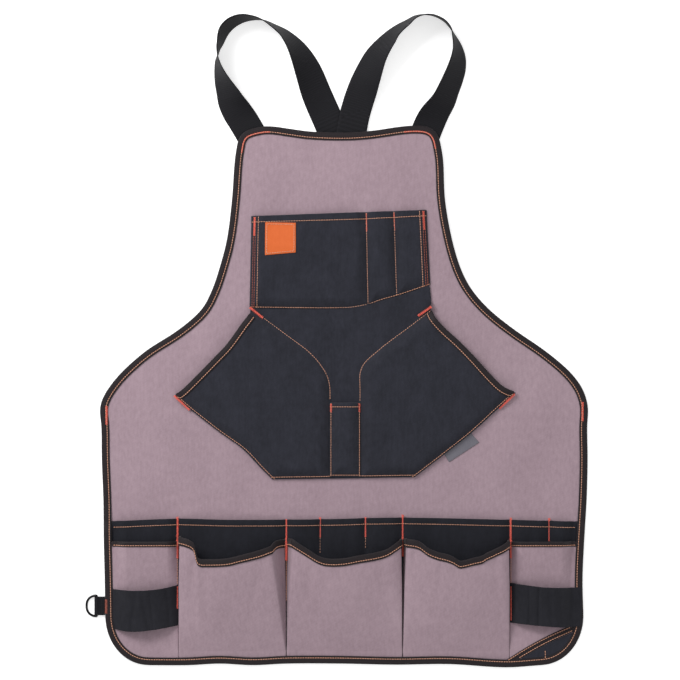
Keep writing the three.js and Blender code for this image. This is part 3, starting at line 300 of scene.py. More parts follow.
def outline_parts():
    """The outline as hem, right corner and side, bib edge, left side and corner, in one line."""
    rows = np.arange(SIDE_ROWS[0, 0], SIDE_ROWS[-1, 0], 3.0)
    left = np.stack([-follow(SIDE_ROWS[:, [0, 1]], rows), rows], 1)
    right = np.stack([follow(SIDE_ROWS[:, [0, 2]], rows), rows], 1)
    across = np.linspace(BIB_EDGE[0, 0], BIB_EDGE[-1, 0], 90)
    bib = np.stack([across, follow(BIB_EDGE, across)], 1)
    arc_left = corner_arc(-1, SIDE_ROWS[0, 1])
    arc_right = corner_arc(1, SIDE_ROWS[0, 2])
    across = np.linspace(arc_left[0, 0] + 3, arc_right[0, 0] - 3, 180)
    hem = np.stack([across, hem_height(across)], 1)
    whole = [hem, arc_right, right[1:], bib[::-1], left[:0:-1], arc_left[::-1]]
    return np.concatenate(whole)


def softened(line, times):
    """A closed line with each point moved half way to its neighbours' middle, several times."""
    for _ in range(times):
        line = (2 * line + np.roll(line, 1, 0) + np.roll(line, -1, 0)) / 4
    return line


def closed_spaced(line, count):
    """A closed line's points again, evenly spaced round it."""
    return spaced(np.concatenate([line, line[:1]]), count + 1)[:-1]


OUTLINE = closed_spaced(softened(closed_spaced(outline_parts(), OUTLINE_COUNT), 3), OUTLINE_COUNT)
COARSE_OUTLINE = np.concatenate([OUTLINE[::5], OUTLINE[:1]])


def inside(distance):
    """The outline moved in, with its points bunched where the corners are tight."""
    return softened(aside(OUTLINE, distance, closed=True), 4)


def between_corners(line):
    """A closed line cut into hem, right side, bib edge and left side."""
    marks = [(-283, 18), (284, 18), (116, 662), (-127, 662)]
    at_marks = [int(np.argmin(np.hypot(*(line - m).T))) for m in marks]
    line = np.roll(line, -at_marks[0], 0)
    a, b, c = [(m - at_marks[0]) % len(line) for m in at_marks[1:]]
    closing = np.concatenate([line[c:], line[:1]])
    return line[:a + 1], line[a:b + 1], line[b:c + 1][::-1], closing[::-1]


# Heights

rng = np.random.default_rng(7)
WAVES = [(rng.uniform(75, 190), rng.uniform(0, math.pi), rng.uniform(0, 2 * math.pi)) for _ in range(9)]
WRINKLES = [(*rng.uniform((-290, 130), (290, 420)), rng.uniform(-0.5, 0.5), rng.uniform(25, 60))
            for _ in range(26)]
WRINKLES += [(*rng.uniform((-120, 350), (120, 640)), rng.uniform(-0.6, 0.6), rng.uniform(15, 40))
             for _ in range(16)]


def relief(x, y):
    """Slow waves of cloth that lies on a table, and some short shallow wrinkles: crossed sines,
    and ridges that fade along and across; never below nothing, and flat at the edge."""
    total = 0
    for length, way, phase in WAVES:
        total = total + np.sin(2 * math.pi * (x * math.cos(way) + y * math.sin(way)) / length + phase)
    wave = 1.3 * (0.5 + 0.5 * np.tanh(total / 3))
    for cx, cy, way, reach in WRINKLES:
        along = (x - cx) * math.cos(way) + (y - cy) * math.sin(way)
        across = (y - cy) * math.cos(way) - (x - cx) * math.sin(way) + 2.5 * np.sin(along / 14)
        wave = wave + 0.45 * np.exp(-(along / reach) ** 2 - (across / 4.2) ** 2)
    to_edge, _ = near(x, y, COARSE_OUTLINE)
    return wave * np.clip((to_edge - 12) / 40, 0, 1)


def rest(y):
    """The panel's underside: up on the strap crossing, on single straps, and on the floor."""
    return np.interp(y, *REST_STEPS.T)


def panel_top(x, y):
    """The panel's upper face."""
    return rest(y) + relief(x, y) + CANVAS


def swell(x, y, seams, height, margin=0):
    """A pocket's rise: nothing at a seam, and the whole height beyond the slope."""
    distance = np.min([near(x, y, seam)[0] for seam in seams], 0)
    if margin:
        distance = np.minimum(distance, near(x, y, COARSE_OUTLINE)[0] - margin)
    return height * np.sin(np.clip(distance / SLOPE, 0, 1) * math.pi / 2)


def sewn(x, y, seams, depth=0.35, pucker=0.16, reach=5):
    """What sewing does to cloth: a groove along each seam, and small puckers beside it."""
    total = 0
    for i, seam in enumerate(seams):
        d, along = near(x, y, seam)
        groove = np.exp(-(d / 1.2) ** 2)
        ripple = np.sin(along * 2 * math.pi / 6.3 + i) + 0.6 * np.sin(along * 2 * math.pi / 11 + 2 * i)
        total = total - depth * groove + pucker * ripple * np.exp(-d / reach) * (1 - groove)
    return total


# Meshes

def make(name, points, faces, look, nodes=(), uv=None):
    """A piece from local points in millimetres and one or more arrays of faces, turned outwards."""
    points = np.asarray(points, float).reshape(-1, 3)
    groups = [np.asarray(group, int) for group in (faces if isinstance(faces, list) else [faces])]
    centred = points - points.mean(0)
    volume = 0.0
    for group in groups:
        for k in range(1, group.shape[1] - 1):
            a, b, c = centred[group[:, 0]], centred[group[:, k]], centred[group[:, k + 1]]
            volume += np.einsum("ij,ij->", a, np.cross(b, c))
    if volume < 0:
        groups = [group[:, ::-1] for group in groups]
    corners = np.concatenate([group.ravel() for group in groups])
    sizes = np.concatenate([np.full(len(group), group.shape[1]) for group in groups])
    mesh = bpy.data.meshes.new(name)
    mesh.vertices.add(len(points))
    mesh.vertices.foreach_set("co", ((points + ORIGIN) * 0.001).ravel())
    mesh.loops.add(len(corners))
    mesh.loops.foreach_set("vertex_index", corners)
    mesh.polygons.add(len(sizes))
    mesh.polygons.foreach_set("loop_start", np.cumsum(sizes) - sizes)
    mesh.polygons.foreach_set("use_smooth", np.full(len(sizes), True))
    mesh.update(calc_edges=True)
    if uv is None:
        uv = points[:, :2]
    layer = mesh.uv_layers.new(name="UVMap")
    layer.data.foreach_set("uv", (np.asarray(uv, float).reshape(-1, 2)[corners] * 0.001).ravel())
    mesh.materials.append(look)
    piece = bpy.data.objects.new(name, mesh)
    bpy.context.scene.collection.objects.link(piece)
    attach(piece, "root")
    if nodes:
        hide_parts(*nodes)
    return piece


def grid_faces(rows, cols, closed=False):
    """Quads of a grid of points, row by row; closed joins the last row to the first."""
    r = np.arange(rows if closed else rows - 1)[:, None]
    c = np.arange(cols - 1)[None, :]
    a = r * cols + c
    b = ((r + 1) % rows) * cols + c
    return np.stack([a, a + 1, b + 1, b], -1).reshape(-1, 4)


def grid_normals(grid):
    """The way off a grid at each of its points: the cross product of its two slopes."""
    across = np.gradient(grid, axis=1)
    up = np.gradient(grid, axis=0)
    return unit(np.cross(across, up))


def border(rows, cols):
    """The places of a grid's edge points, once round, and of their neighbours further in."""
    r = np.concatenate([np.zeros(cols), np.arange(1, rows), np.full(cols - 1, rows - 1),
                        np.arange(rows - 2, 0, -1)]).astype(int)
    c = np.concatenate([np.arange(cols), np.full(rows - 1, cols - 1), np.arange(cols - 2, -1, -1),
                        np.zeros(rows - 2)]).astype(int)
    inner_r, inner_c = np.clip(r, 1, rows - 2), np.clip(c, 1, cols - 2)
    return r * cols + c, inner_r * cols + inner_c


def cloth(name, low, thickness, look, nodes=(), normals=None, uv=None):
    """A closed sheet on a grid of points of its underside: the upper side lies off it along the
    normals, and a rim bulges by half the thickness round the edge."""
    rows, cols = low.shape[:2]
    normals = grid_normals(low) if normals is None else normals
    thick = np.broadcast_to(np.asarray(thickness, float), (rows, cols))[..., None]
    high = low + normals * thick
    edge, inner = border(rows, cols)
    flat_low, flat_high = low.reshape(-1, 3), high.reshape(-1, 3)
    middle = (flat_low[edge] + flat_high[edge]) / 2
    out = unit(flat_low[edge] - flat_low[inner])
    bulge = middle + out * thick.reshape(-1, 1)[edge] * 0.5
    count = rows * cols
    top = grid_faces(rows, cols) + count
    under = grid_faces(rows, cols)[:, ::-1]
    n = len(edge)
    here, onward = np.arange(n), (np.arange(n) + 1) % n
    ring = 2 * count
    rim_low = np.stack([edge[here], edge[onward], ring + onward, ring + here], 1)
    rim_high = np.stack([ring + here, ring + onward, count + edge[onward], count + edge[here]], 1)
    points = np.concatenate([flat_low, flat_high, bulge])
    if uv is None:
        flat_uv = flat_low[:, :2]
    else:
        flat_uv = uv.reshape(-1, 2)
    uvs = np.concatenate([flat_uv, flat_uv, flat_uv[edge]])
    return make(name, points, np.concatenate([top, under, rim_low, rim_high]), look, nodes, uvs)


def sweep(name, sections, look, nodes=(), closed=False, uv=None):
    """A closed section carried along: sections is (places, points, 3). Open ends get one face."""
    count, sides = sections.shape[:2]
    index = np.arange(count * sides).reshape(count, sides)
    faces = np.concatenate([index, index[:, :1]], 1).ravel()[grid_faces(count, sides + 1, closed)]
    if uv is None:
        round_it = lengths(sections[0])
        along = lengths(sections.mean(1))
        uv = np.stack(np.meshgrid(round_it, along), -1)
    groups = [faces] if closed else [faces, index[:1, ::-1], index[-1:]]
    return make(name, sections, groups, look, nodes, uv)


def folded_tape(name, edge, inner, edge_up, inner_up, held, nodes, closed=False, stitch=TAPE_STITCH):
    """Tape folded round an edge. edge and inner are lines on the underside of what it binds;
    held is that cloth's thickness along them. Between them the tape's face is puffed up, with a
    groove where it is sewn and small puckers beside the groove; round the edge it is half an
    ellipse."""
    count = len(edge)
    out = unit(edge - inner)
    held = np.broadcast_to(held, count)
    along = lengths(edge)
    ripple = np.sin(along * 2 * math.pi / 6.1) + 0.7 * np.sin(along * 2 * math.pi / 9.7 + 1)
    shell = GAP + TAPE

    def at_share(share, height):
        foot = inner + (edge - inner) * share
        up = unit(inner_up + (edge_up - inner_up) * share)
        return foot + up * np.broadcast_to(height, count)[:, None]

    section = []
    for share in (0.0, 0.1, 0.2, stitch, 0.42, 0.6, 0.8, 0.95):
        away = share - stitch
        puff = 0.35 * math.sin(math.pi * min(share / 0.95, 1)) - 0.42 * math.exp(-(away / 0.07) ** 2)
        wrinkle = 0.13 * ripple * math.exp(-abs(away) / 0.25) * (1 - math.exp(-(away / 0.05) ** 2))
        section.append(at_share(share, held + shell + puff + wrinkle - 0.25 * (share == 0)))
    middle = at_share(1, held / 2)
    half = (held / 2 + shell)[:, None]
    for angle in (65, 35, 0, -35, -65):
        a = math.radians(angle)
        section.append(middle + out * shell * math.cos(a) + edge_up * half * math.sin(a))
    for share in (0.95, 0.6, stitch, 0.12, 0.0):
        section.append(at_share(share, -shell + 0.15 * math.exp(-((share - stitch) / 0.08) ** 2)))
    for share in (0.0, 0.5, 0.97):
        section.append(at_share(share, -GAP))
    for share in (0.97, 0.5, 0.0):
        section.append(at_share(share, held + GAP))
    sections = np.stack(section, 1)
    uv = np.stack(np.meshgrid(lengths(sections[0]), along), -1)
    return sweep(name, sections, tape_look, nodes, closed, uv)


# Thread

BEAD_SIDES = 6
BEAD_RINGS = [(-1.0, 0.45, -0.9), (-0.62, 0.95, -0.1), (0.62, 0.95, -0.1), (1.0, 0.45, -0.9)]


def beads(a, b, up, radius):
    """Short lengths of thread from each a to each b: four rings, thinner and deeper at the ends,
    which close on a point."""
    a, b, up = np.asarray(a), np.asarray(b), np.asarray(up)
    ahead = unit(b - a)
    across = unit(np.cross(up, ahead))
    above = np.cross(ahead, across)
    half = np.linalg.norm(b - a, axis=1, keepdims=True) / 2
    middle = (a + b) / 2
    angle = np.arange(BEAD_SIDES) * 2 * math.pi / BEAD_SIDES
    rings = []
    for where, size, drop in BEAD_RINGS:
        centre = middle + ahead * half * where + above * radius * drop * 0.9
        ring = centre[:, None] + radius * size * (
            across[:, None] * np.cos(angle)[:, None] + above[:, None] * np.sin(angle)[:, None])
        rings.append(ring)
    points = np.concatenate(rings, 1)
    one = grid_faces(len(BEAD_RINGS), BEAD_SIDES + 1)
    index = np.arange(len(BEAD_RINGS) * BEAD_SIDES).reshape(len(BEAD_RINGS), BEAD_SIDES)
    index = np.concatenate([index, index[:, :1]], 1).ravel()
    one = index[one]
    last = (len(BEAD_RINGS) - 1) * BEAD_SIDES
    caps = [[3, 2, 1, 0], [5, 4, 3, 0], [last, last + 1, last + 2, last + 3],
            [last, last + 3, last + 4, last + 5]]
    one = np.concatenate([one, caps])
    size = len(BEAD_RINGS) * BEAD_SIDES
    faces = (one[None] + (np.arange(len(a)) * size)[:, None, None]).reshape(-1, 4)
    return points.reshape(-1, 3), faces


def on(line, top):
    """A line in the plane laid on a surface: its points in space and the way up at each."""
    line = np.asarray(line, float)
    line = spaced(line, max(int(lengths(line)[-1] / SAMPLE), 2))
    x, y = line.T
    h = top(x, y)
    e = 0.8
    slope_x = (top(x + e, y) - top(x - e, y)) / (2 * e)
    slope_y = (top(x, y + e) - top(x, y - e)) / (2 * e)
    return np.stack([x, y, h], 1), unit(np.stack([-slope_x, -slope_y, np.ones_like(x)], 1))


def sewing(name, runs, look, pitch=STITCH_PITCH, length=STITCH_LENGTH, radius=THREAD):
    """Running stitches along lines in space; runs is a list of (points, ups)."""
    all_points, all_faces, offset = [], [], 0
    for points, ups in runs:
        far = lengths(points)
        count = max(int(far[-1] / pitch), 1)
        middles = (np.arange(count) + 0.5) * far[-1] / count
        ends = [np.stack([np.interp(middles + s * length / 2, far, points[:, k]) for k in range(3)], 1)
                for s in (-1, 1)]
        up = unit(np.stack([np.interp(middles, far, ups[:, k]) for k in range(3)], 1))
        lift = up * radius * 0.75
        p, f = beads(ends[0] + lift, ends[1] + lift, up, radius)
        all_points.append(p)
        all_faces.append(f + offset)
        offset += len(p)
    return make(name, np.concatenate(all_points), np.concatenate(all_faces), look)


def tacks(name, runs, look, width=TACK_WIDTH, pitch=TACK_PITCH, radius=THIN_THREAD):
    """Bartacks: thread that goes from side to side in a close zigzag along lines in space."""
    all_points, all_faces, offset = [], [], 0
    for points, ups in runs:
        far = lengths(points)
        count = max(int(far[-1] / pitch), 2)
        where = np.linspace(0, far[-1], count + 1)
        centre = np.stack([np.interp(where, far, points[:, k]) for k in range(3)], 1)
        up = unit(np.stack([np.interp(where, far, ups[:, k]) for k in range(3)], 1))
        ahead = unit(np.gradient(centre, axis=0))
        side = unit(np.cross(up, ahead))
        swing = np.where(np.arange(count + 1) % 2, 1.0, -1.0)[:, None] * width / 2
        zigzag = centre + side * swing + up * radius
        p, f = beads(zigzag[:-1], zigzag[1:], up[:-1], radius)
        all_points.append(p)
        all_faces.append(f + offset)
        offset += len(p)
    return make(name, np.concatenate(all_points), np.concatenate(all_faces), look)


# Materials

def linear(colour):
    """An sRGB hex colour in linear light."""
    parts = [int(colour[i:i + 2], 16) / 255 for i in (0, 2, 4)]
    return [c / 12.92 if c <= 0.04045 else ((c + 0.055) / 1.055) ** 2.4 for c in parts] + [1.0]


def add_node(material, kind, links=(), **settings):
    """A node with its settings; links are (input name or number, output socket) pairs."""
    node = material.node_tree.nodes.new(kind)
    for key, value in settings.items():
        if key in node.inputs:
            node.inputs[key].default_value = value
        else:
            setattr(node, key, value)
    for socket, source in links:
        material.node_tree.links.new(source, node.inputs[socket])
    return node


def start(name, roughness, sheen=0.0, specular=0.3):
    """An empty material with its shader; constants go on the shader's own sockets."""
    material = bpy.data.materials.new(name)
    material.use_nodes = True
    shader = material.node_tree.nodes["Principled BSDF"]
    shader.inputs["Roughness"].default_value = roughness
    shader.inputs["Sheen Weight"].default_value = sheen
    shader.inputs["Sheen Roughness"].default_value = 0.5
    shader.inputs["Specular IOR Level"].default_value = specular
    return material, shader


def mapped(material, scale, turn=0.0):
    """The piece's own millimetres, as its UV, scaled to a pattern's repeats a metre and turned."""
    uv = add_node(material, "ShaderNodeUVMap", uv_map="UVMap")
    return add_node(material, "ShaderNodeMapping", [("Vector", uv.outputs["UV"])],
                    Scale=(scale, scale, scale), Rotation=(0, 0, math.radians(turn))).outputs["Vector"]


def maths(material, operation, a, b):
    """A maths node on two numbers or output sockets."""
    node = add_node(material, "ShaderNodeMath", operation=operation)
    for socket, value in zip(node.inputs, (a, b)):
        if isinstance(value, (int, float)):
            socket.default_value = value
        else:
            material.node_tree.links.new(value, socket)
    return node.outputs["Value"]


def noise(material, scale, detail=3.0, stretch=(1, 1, 1)):
    """Noise in the object's own metres, stretched along an axis."""
    place = add_node(material, "ShaderNodeTexCoord").outputs["Object"]
    spread = add_node(material, "ShaderNodeMapping", [("Vector", place)], Scale=stretch)
    return add_node(material, "ShaderNodeTexNoise", [("Vector", spread.outputs["Vector"])],
                    Scale=scale, Detail=detail, Roughness=0.6).outputs["Fac"]


def ridges(material, per_metre, turn, distortion=0.6):
    """Soft parallel ridges across the piece's own plane."""
    return add_node(material, "ShaderNodeTexWave", [("Vector", mapped(material, 1.0, turn))],
                    wave_type="BANDS", bands_direction="X", wave_profile="SIN",
                    Scale=per_metre * math.pi / 10, Distortion=distortion,
                    **{"Detail": 1.0, "Detail Scale": 1.5}).outputs["Fac"]


def shade(material, shader, dark, light, factor, height, strength, distance):
    """Colour between dark and light by a factor, and a bump from a height."""
    ramp = add_node(material, "ShaderNodeValToRGB", [("Fac", factor)])
    ramp.color_ramp.elements[0].color = linear(dark)
    ramp.color_ramp.elements[1].color = linear(light)
    bump = add_node(material, "ShaderNodeBump", [("Height", height)], Strength=strength, Distance=distance)
    links = material.node_tree.links
    links.new(ramp.outputs["Color"], shader.inputs["Base Color"])
    links.new(bump.outputs["Normal"], shader.inputs["Normal"])


def woven(name, dark, light, twill, turn=63, mottle=0.55, strength=0.5, roughness=0.85, sheen=0.15,
          specular=0.25, crumpled=1.5, clouds=14):
    """Twill cloth: diagonal ridges crossed by the weft, with slubs and a slow cloudiness.

    The real twill has about 1.2 ridges a millimetre, finer than the picture can show, so it is
    drawn coarser.
    """
    material, shader = start(name, roughness, sheen, specular)
    diagonal = ridges(material, twill, turn, distortion=2.5)
    weft = ridges(material, twill * 0.7, 0, distortion=4.0)
    weave = maths(material, "ADD", maths(material, "MULTIPLY", diagonal, 0.6),
                  maths(material, "MULTIPLY", weft, 0.4))
    slub = noise(material, 260, 3.0, stretch=(1, 0.5, 1))
    cloud = noise(material, clouds, 4.0, stretch=(1, 0.55, 1))
    spots = maths(material, "ADD", maths(material, "MULTIPLY", slub, mottle),
                  maths(material, "MULTIPLY", cloud, 1 - mottle))
    factor = maths(material, "ADD", maths(material, "MULTIPLY", weave, 0.07),
                   maths(material, "MULTIPLY", spots, 0.93))
    crumple = noise(material, 55, 2.0, stretch=(1, 1.7, 1))
    height = maths(material, "ADD", maths(material, "MULTIPLY", weave, 0.18),
                   maths(material, "ADD", maths(material, "MULTIPLY", slub, 0.5),
                         maths(material, "MULTIPLY", crumple, crumpled)))
    shade(material, shader, dark, light, factor, height, strength, 0.0002)
    return material


def ribbed(name, dark, light, ribs, turn, strength=0.6, roughness=0.7, sheen=0.1, specular=0.35):
    """Tape or webbing: ribs across it, broken by the yarns that run along it."""
    material, shader = start(name, roughness, sheen, specular)
    rib = ridges(material, ribs, turn, distortion=0.3)
    yarn = ridges(material, ribs * 0.8, turn + 90, distortion=0.8)
    speck = noise(material, 600, 2.0)
    weave = maths(material, "ADD", maths(material, "MULTIPLY", rib, 0.6),
                  maths(material, "MULTIPLY", yarn, 0.4))
    factor = maths(material, "ADD", maths(material, "MULTIPLY", weave, 0.6),
                   maths(material, "MULTIPLY", speck, 0.4))
    shade(material, shader, dark, light, factor, weave, strength, 0.00025)
    return material


def plain(name, dark, light, scale, roughness, metallic=0.0, specular=0.5, strength=0.15):
    """A material of one colour with a fine grain."""
    material, shader = start(name, roughness, 0.0, specular)
    shader.inputs["Metallic"].default_value = metallic
    grain = noise(material, scale, 3.0)
    shade(material, shader, dark, light, grain, grain, strength, 0.0001)
    return material


canvas_look = woven("grey_canvas", "816d76", "b8a0aa", 360, crumpled=4.0)
black_look = woven("black_canvas", "090a11", "343540", 360, mottle=0.45, sheen=0.1, crumpled=6.0,
                   clouds=60)
# The back layer is the same black canvas, drawn darker than black_look: painted shade for the insides of
# the pockets.
painted_shade_back_look = woven("black_back_canvas_painted_shade", "07070c", "262730", 360, mottle=0.45, sheen=0.05,
                  crumpled=5.0, clouds=60)
loop_look = woven("black_loop_canvas", "0c0c12", "28282f", 360, mottle=0.5, sheen=0.05,
                  crumpled=4.0, clouds=60)
tape_look = ribbed("black_binding_tape", "090407", "1e1117", 500, 0)
webbing_look = ribbed("black_webbing", "0b0b0e", "1e1d22", 420, 90, roughness=0.75, sheen=0.0, specular=0.2)
thread_look = plain("orange_thread", "c08468", "e6ae92", 900, 0.55)
dark_thread_look = plain("rust_thread", "8a4238", "b4644f", 900, 0.55)
tack_look = plain("coral_thread", "e2483c", "f47a66", 900, 0.5)
label_look = woven("orange_label", "c8561f", "e4743a", 500, mottle=0.4, roughness=0.6)
tag_look = woven("grey_tag", "57555d", "7d7b84", 500, mottle=0.4, roughness=0.6)
ring_look = plain("black_enamelled_wire", "0c0c0e", "18181b", 500, 0.28, metallic=0.6)


# The panel

hem_line, right_line, bib_line, left_line = between_corners(inside(TAPE + GAP))


def coons(low, high, left, right):
    """Points between four lines that meet at the corners, by the bilinear blend of the four."""
    s = np.linspace(0, 1, len(low))[None, :, None]
    t = np.linspace(0, 1, len(left))[:, None, None]
    rows = left[:, None] * (1 - s) + right[:, None] * s
    columns = low[None] * (1 - t) + high[None] * t
    corners = (low[0] * (1 - s) + low[-1] * s) * (1 - t) + (high[0] * (1 - s) + high[-1] * s) * t
    return rows + columns - corners


def lifted(plane, height):
    """A grid or line of places raised to a height function."""
    return np.concatenate([plane, height(plane[..., 0], plane[..., 1])[..., None]], -1)


def straight_up(plane):
    """The way up at each place of a grid."""
    return np.broadcast_to([0.0, 0.0, 1.0], plane.shape[:2] + (3,))


def between(name, plane, under, top, look, node):
    """A sheet on a grid between two height functions."""
    low = lifted(plane, under)
    thick = top(plane[..., 0], plane[..., 1]) - low[..., 2]
    return cloth(name, low, thick, look, [node], normals=straight_up(plane))


PANEL_COLUMNS, PANEL_ROWS = 170, 190
panel_plane = coons(spaced(hem_line, PANEL_COLUMNS), spaced(bib_line, PANEL_COLUMNS),
                    spaced(left_line, PANEL_ROWS), spaced(right_line, PANEL_ROWS))
panel = cloth("canvas_panel", lifted(panel_plane, lambda x, y: rest(y) + relief(x, y)), CANVAS,
              canvas_look, ["body_panel"], normals=straight_up(panel_plane))


# Edge binding: one tape round everything, over the pocket layers below the waist

def held_at(y):
    """The thickness inside the binding: the panel alone above the waist, all layers below."""
    layers = CANVAS + GAP + CLOTH
    all_layers = layers + BOUND_RISE + CLOTH
    return np.interp(y, [168.5, 179.3, 185, 202], [all_layers, layers, layers, CANVAS])


def flat_up(count):
    """The way up, straight, for each point of a line."""
    return np.tile([0.0, 0.0, 1.0], (count, 1))


edge_line, edge_inner = inside(TAPE + GAP), inside(EDGE_TAPE)
binding_edge = lifted(edge_line, lambda x, y: rest(y))
binding_inner = lifted(edge_inner, lambda x, y: rest(y))
all_up = flat_up(OUTLINE_COUNT)
binding = folded_tape("edge_tape", binding_edge, binding_inner, all_up, all_up, held_at(binding_edge[:, 1]),
                      ["edge_binding"], closed=True)


def binding_top(x, y):
    """Where thread lies on the edge tape."""
    return rest(y) + held_at(y) + ON_TAPE


# Straps

def centripetal(points, count):
    """The centripetal Catmull-Rom curve, whose knots are spaced by the root of the chord."""
    p = np.asarray(points, float)
    p = np.concatenate([[2 * p[0] - p[1]], p, [2 * p[-1] - p[-2]]])
    t_all = np.linspace(0, len(points) - 1, count)
    i = np.minimum(t_all.astype(int), len(points) - 2)
    t = (t_all - i)[:, None]
    a, b, c, d = p[i], p[i + 1], p[i + 2], p[i + 3]
    knot = lambda u, v: np.sqrt(np.linalg.norm(v - u, axis=1, keepdims=True))
    ab, bc, cd = knot(a, b), knot(b, c), knot(c, d)
    leave = ((b - a) / ab - (c - a) / (ab + bc) + (c - b) / bc) * bc
    arrive = ((c - b) / bc - (d - b) / (bc + cd) + (d - c) / cd) * bc
    return (b + leave * t + (3 * (c - b) - 2 * leave - arrive) * t ** 2
            + (2 * (b - c) + leave + arrive) * t ** 3)


def evened(values, count):
    """A row of values with each one averaged over its neighbours."""
    kernel = np.hanning(count) / np.hanning(count).sum()
    return np.convolve(np.pad(values, count // 2, mode="edge"), kernel, "valid")


def strap(name, route, hand, node):
    """Webbing along a route of its outer floor edge: its width turns up from the floor by the
    lean, and its two long edges are rounded."""
    count = 520
    table = np.array(route, float)
    edge = centripetal(at(table[:, :2]), count)
    where = np.linspace(0, len(table) - 1, count)
    lean = np.interp(where, np.arange(len(table)), table[:, 2])
    rise = np.interp(where, np.arange(len(table)), table[:, 3])
    lean, rise = np.radians(evened(lean, 41)), evened(rise, 41)
    ahead = np.gradient(edge, axis=0)
    heading = evened(np.unwrap(np.arctan2(ahead[:, 1], ahead[:, 0])), 61) - hand * math.pi / 2
    inward = np.stack([np.cos(heading), np.sin(heading)], 1)
    width_way = np.concatenate([inward * np.cos(lean)[:, None], np.sin(lean)[:, None]], 1)
    face = np.concatenate([-inward * np.sin(lean)[:, None], np.cos(lean)[:, None]], 1)
    foot = np.concatenate([edge, (rise * OVERLAP_RISE)[:, None]], 1)
    shares = np.linspace(0.03, 0.97, 12)
    section = [foot + width_way * STRAP_WIDTH * s for s in shares]
    section += [foot + width_way * (STRAP_WIDTH - 0.1) + face * WEBBING * h for h in (0.25, 0.75)]
    section += [foot + width_way * STRAP_WIDTH * s + face * WEBBING for s in shares[::-1]]
    section += [foot + width_way * 0.1 + face * WEBBING * h for h in (0.75, 0.25)]
    sections = np.stack(section, 1)
    far = lengths(sections[:, 6])
    across = np.concatenate([shares, [1.03, 1.06], 1.1 + shares, [2.12, 2.15, 2.18]]) * STRAP_WIDTH
    uv = np.stack(np.meshgrid(across, far), -1)
    return sweep(name, sections, webbing_look, [node], uv=uv), far[-1]


left_strap, left_length = strap("left_strap_webbing", STRAP_LEFT, 1, "strap_left")
right_strap, right_length = strap("right_strap_webbing", STRAP_RIGHT, -1, "strap_right")


# Chest pocket

def chest_seam(share):
    """The chest pocket's lower seam, at a share of its width."""
    across = CHEST_SEAM[0, 0] + np.asarray(share) * (CHEST_SEAM[-1, 0] - CHEST_SEAM[0, 0])
    return np.stack([across, follow(CHEST_SEAM, across)], -1)


def chest_place(share, t):
    """A place on the chest pocket: a straight line from its lower seam to its top edge."""
    high = CHEST_TOP[0] + np.asarray(share)[..., None] * (CHEST_TOP[1] - CHEST_TOP[0])
    return chest_seam(share) * (1 - np.asarray(t)[..., None]) + high * np.asarray(t)[..., None]


def chest_line(share, low=0.0, high=1.0, count=30):
    """An upright line on the chest pocket."""
    return chest_place(np.full(count, share), np.linspace(low, high, count))


def chest_across(t, low=0.0, high=1.0, count=60):
    """A line across the chest pocket."""
    return chest_place(np.linspace(low, high, count), np.full(count, t))


CHEST_DEEP, CHEST_WIDE = 118, 217
CHEST_HEM = 7.0, 8.4  # deep at the left and at the right end
SIDE_BAND = 8.4 / CHEST_WIDE
chest_hem = chest_place(np.linspace(0, 1, 60), 1 - np.linspace(*CHEST_HEM, 60) / CHEST_DEEP)
chest_seams = [chest_across(0)] + [chest_line(share) for share in CHEST_COLUMNS]
pen_slots = [chest_line(share) for share in PEN_SLOTS]
chest_sewn = [chest_across(0.012), chest_hem, chest_line(SIDE_BAND),
              chest_line(1 - SIDE_BAND)] + pen_slots


def chest_folds(x, y):
    """The double cloth of the top hem and of the two side bands, with soft steps."""
    left, _ = near(x, y, chest_line(0))
    right, _ = near(x, y, chest_line(1))
    top, _ = near(x, y, chest_across(1))
    step = lambda d, wide: 0.5 / (1 + np.exp((d - wide) * 2.2))
    return step(left, 8.9) + step(right, 8.9) + step(top, 8.0)


def drag(x, y):
    """Slack in the black cloth: faint slanting folds."""
    return (0.6 * np.sin((x * 0.9 + y * 0.25) / 7 + 1.5 * np.sin(y / 29))
            * np.sin(y / 21 + x / 60) + 0.5 * np.sin((x * 0.6 - y) / 15 + 2 + np.sin(x / 33)))


def chest_under(x, y):
    """The chest pocket's inner face: swollen between its seams, with slack folds where it swells."""
    base = panel_top(x, y) + GAP
    rise = swell(x, y, chest_seams, CHEST_SWELL)
    return base + rise + drag(x, y) * rise / CHEST_SWELL


def chest_top(x, y):
    """The chest pocket's outer face."""
    return chest_under(x, y) + CLOTH + chest_folds(x, y) + sewn(x, y, chest_sewn)


share, t = np.meshgrid(np.linspace(0, 1, 176), np.linspace(0, 1, 96))
chest = between("chest_pocket_cloth", chest_place(share, t), chest_under, chest_top, black_look,
                "chest_pocket")


# Hand pocket: rows run from its left edge and mouth to its right edge and mouth

def hand_side(edge, mouth, top):
    """One side from the bottom to the tip, along the mouth, and up to the seam with the chest."""
    lower = spaced(curve(edge), EDGE_STEPS + 1)[:-1]
    upper = spaced(curve(mouth), MOUTH_STEPS + 1)[:-1]
    last = spaced(np.stack([mouth[-1], top]), LAST_STEPS + 1)
    return np.concatenate([lower, upper, last])


SEAM_ALLOWANCE = 0.4


def below_seam(share):
    """The hand pocket's top edge, just below the chest pocket's seam."""
    return chest_seam(share) - [0, SEAM_ALLOWANCE]


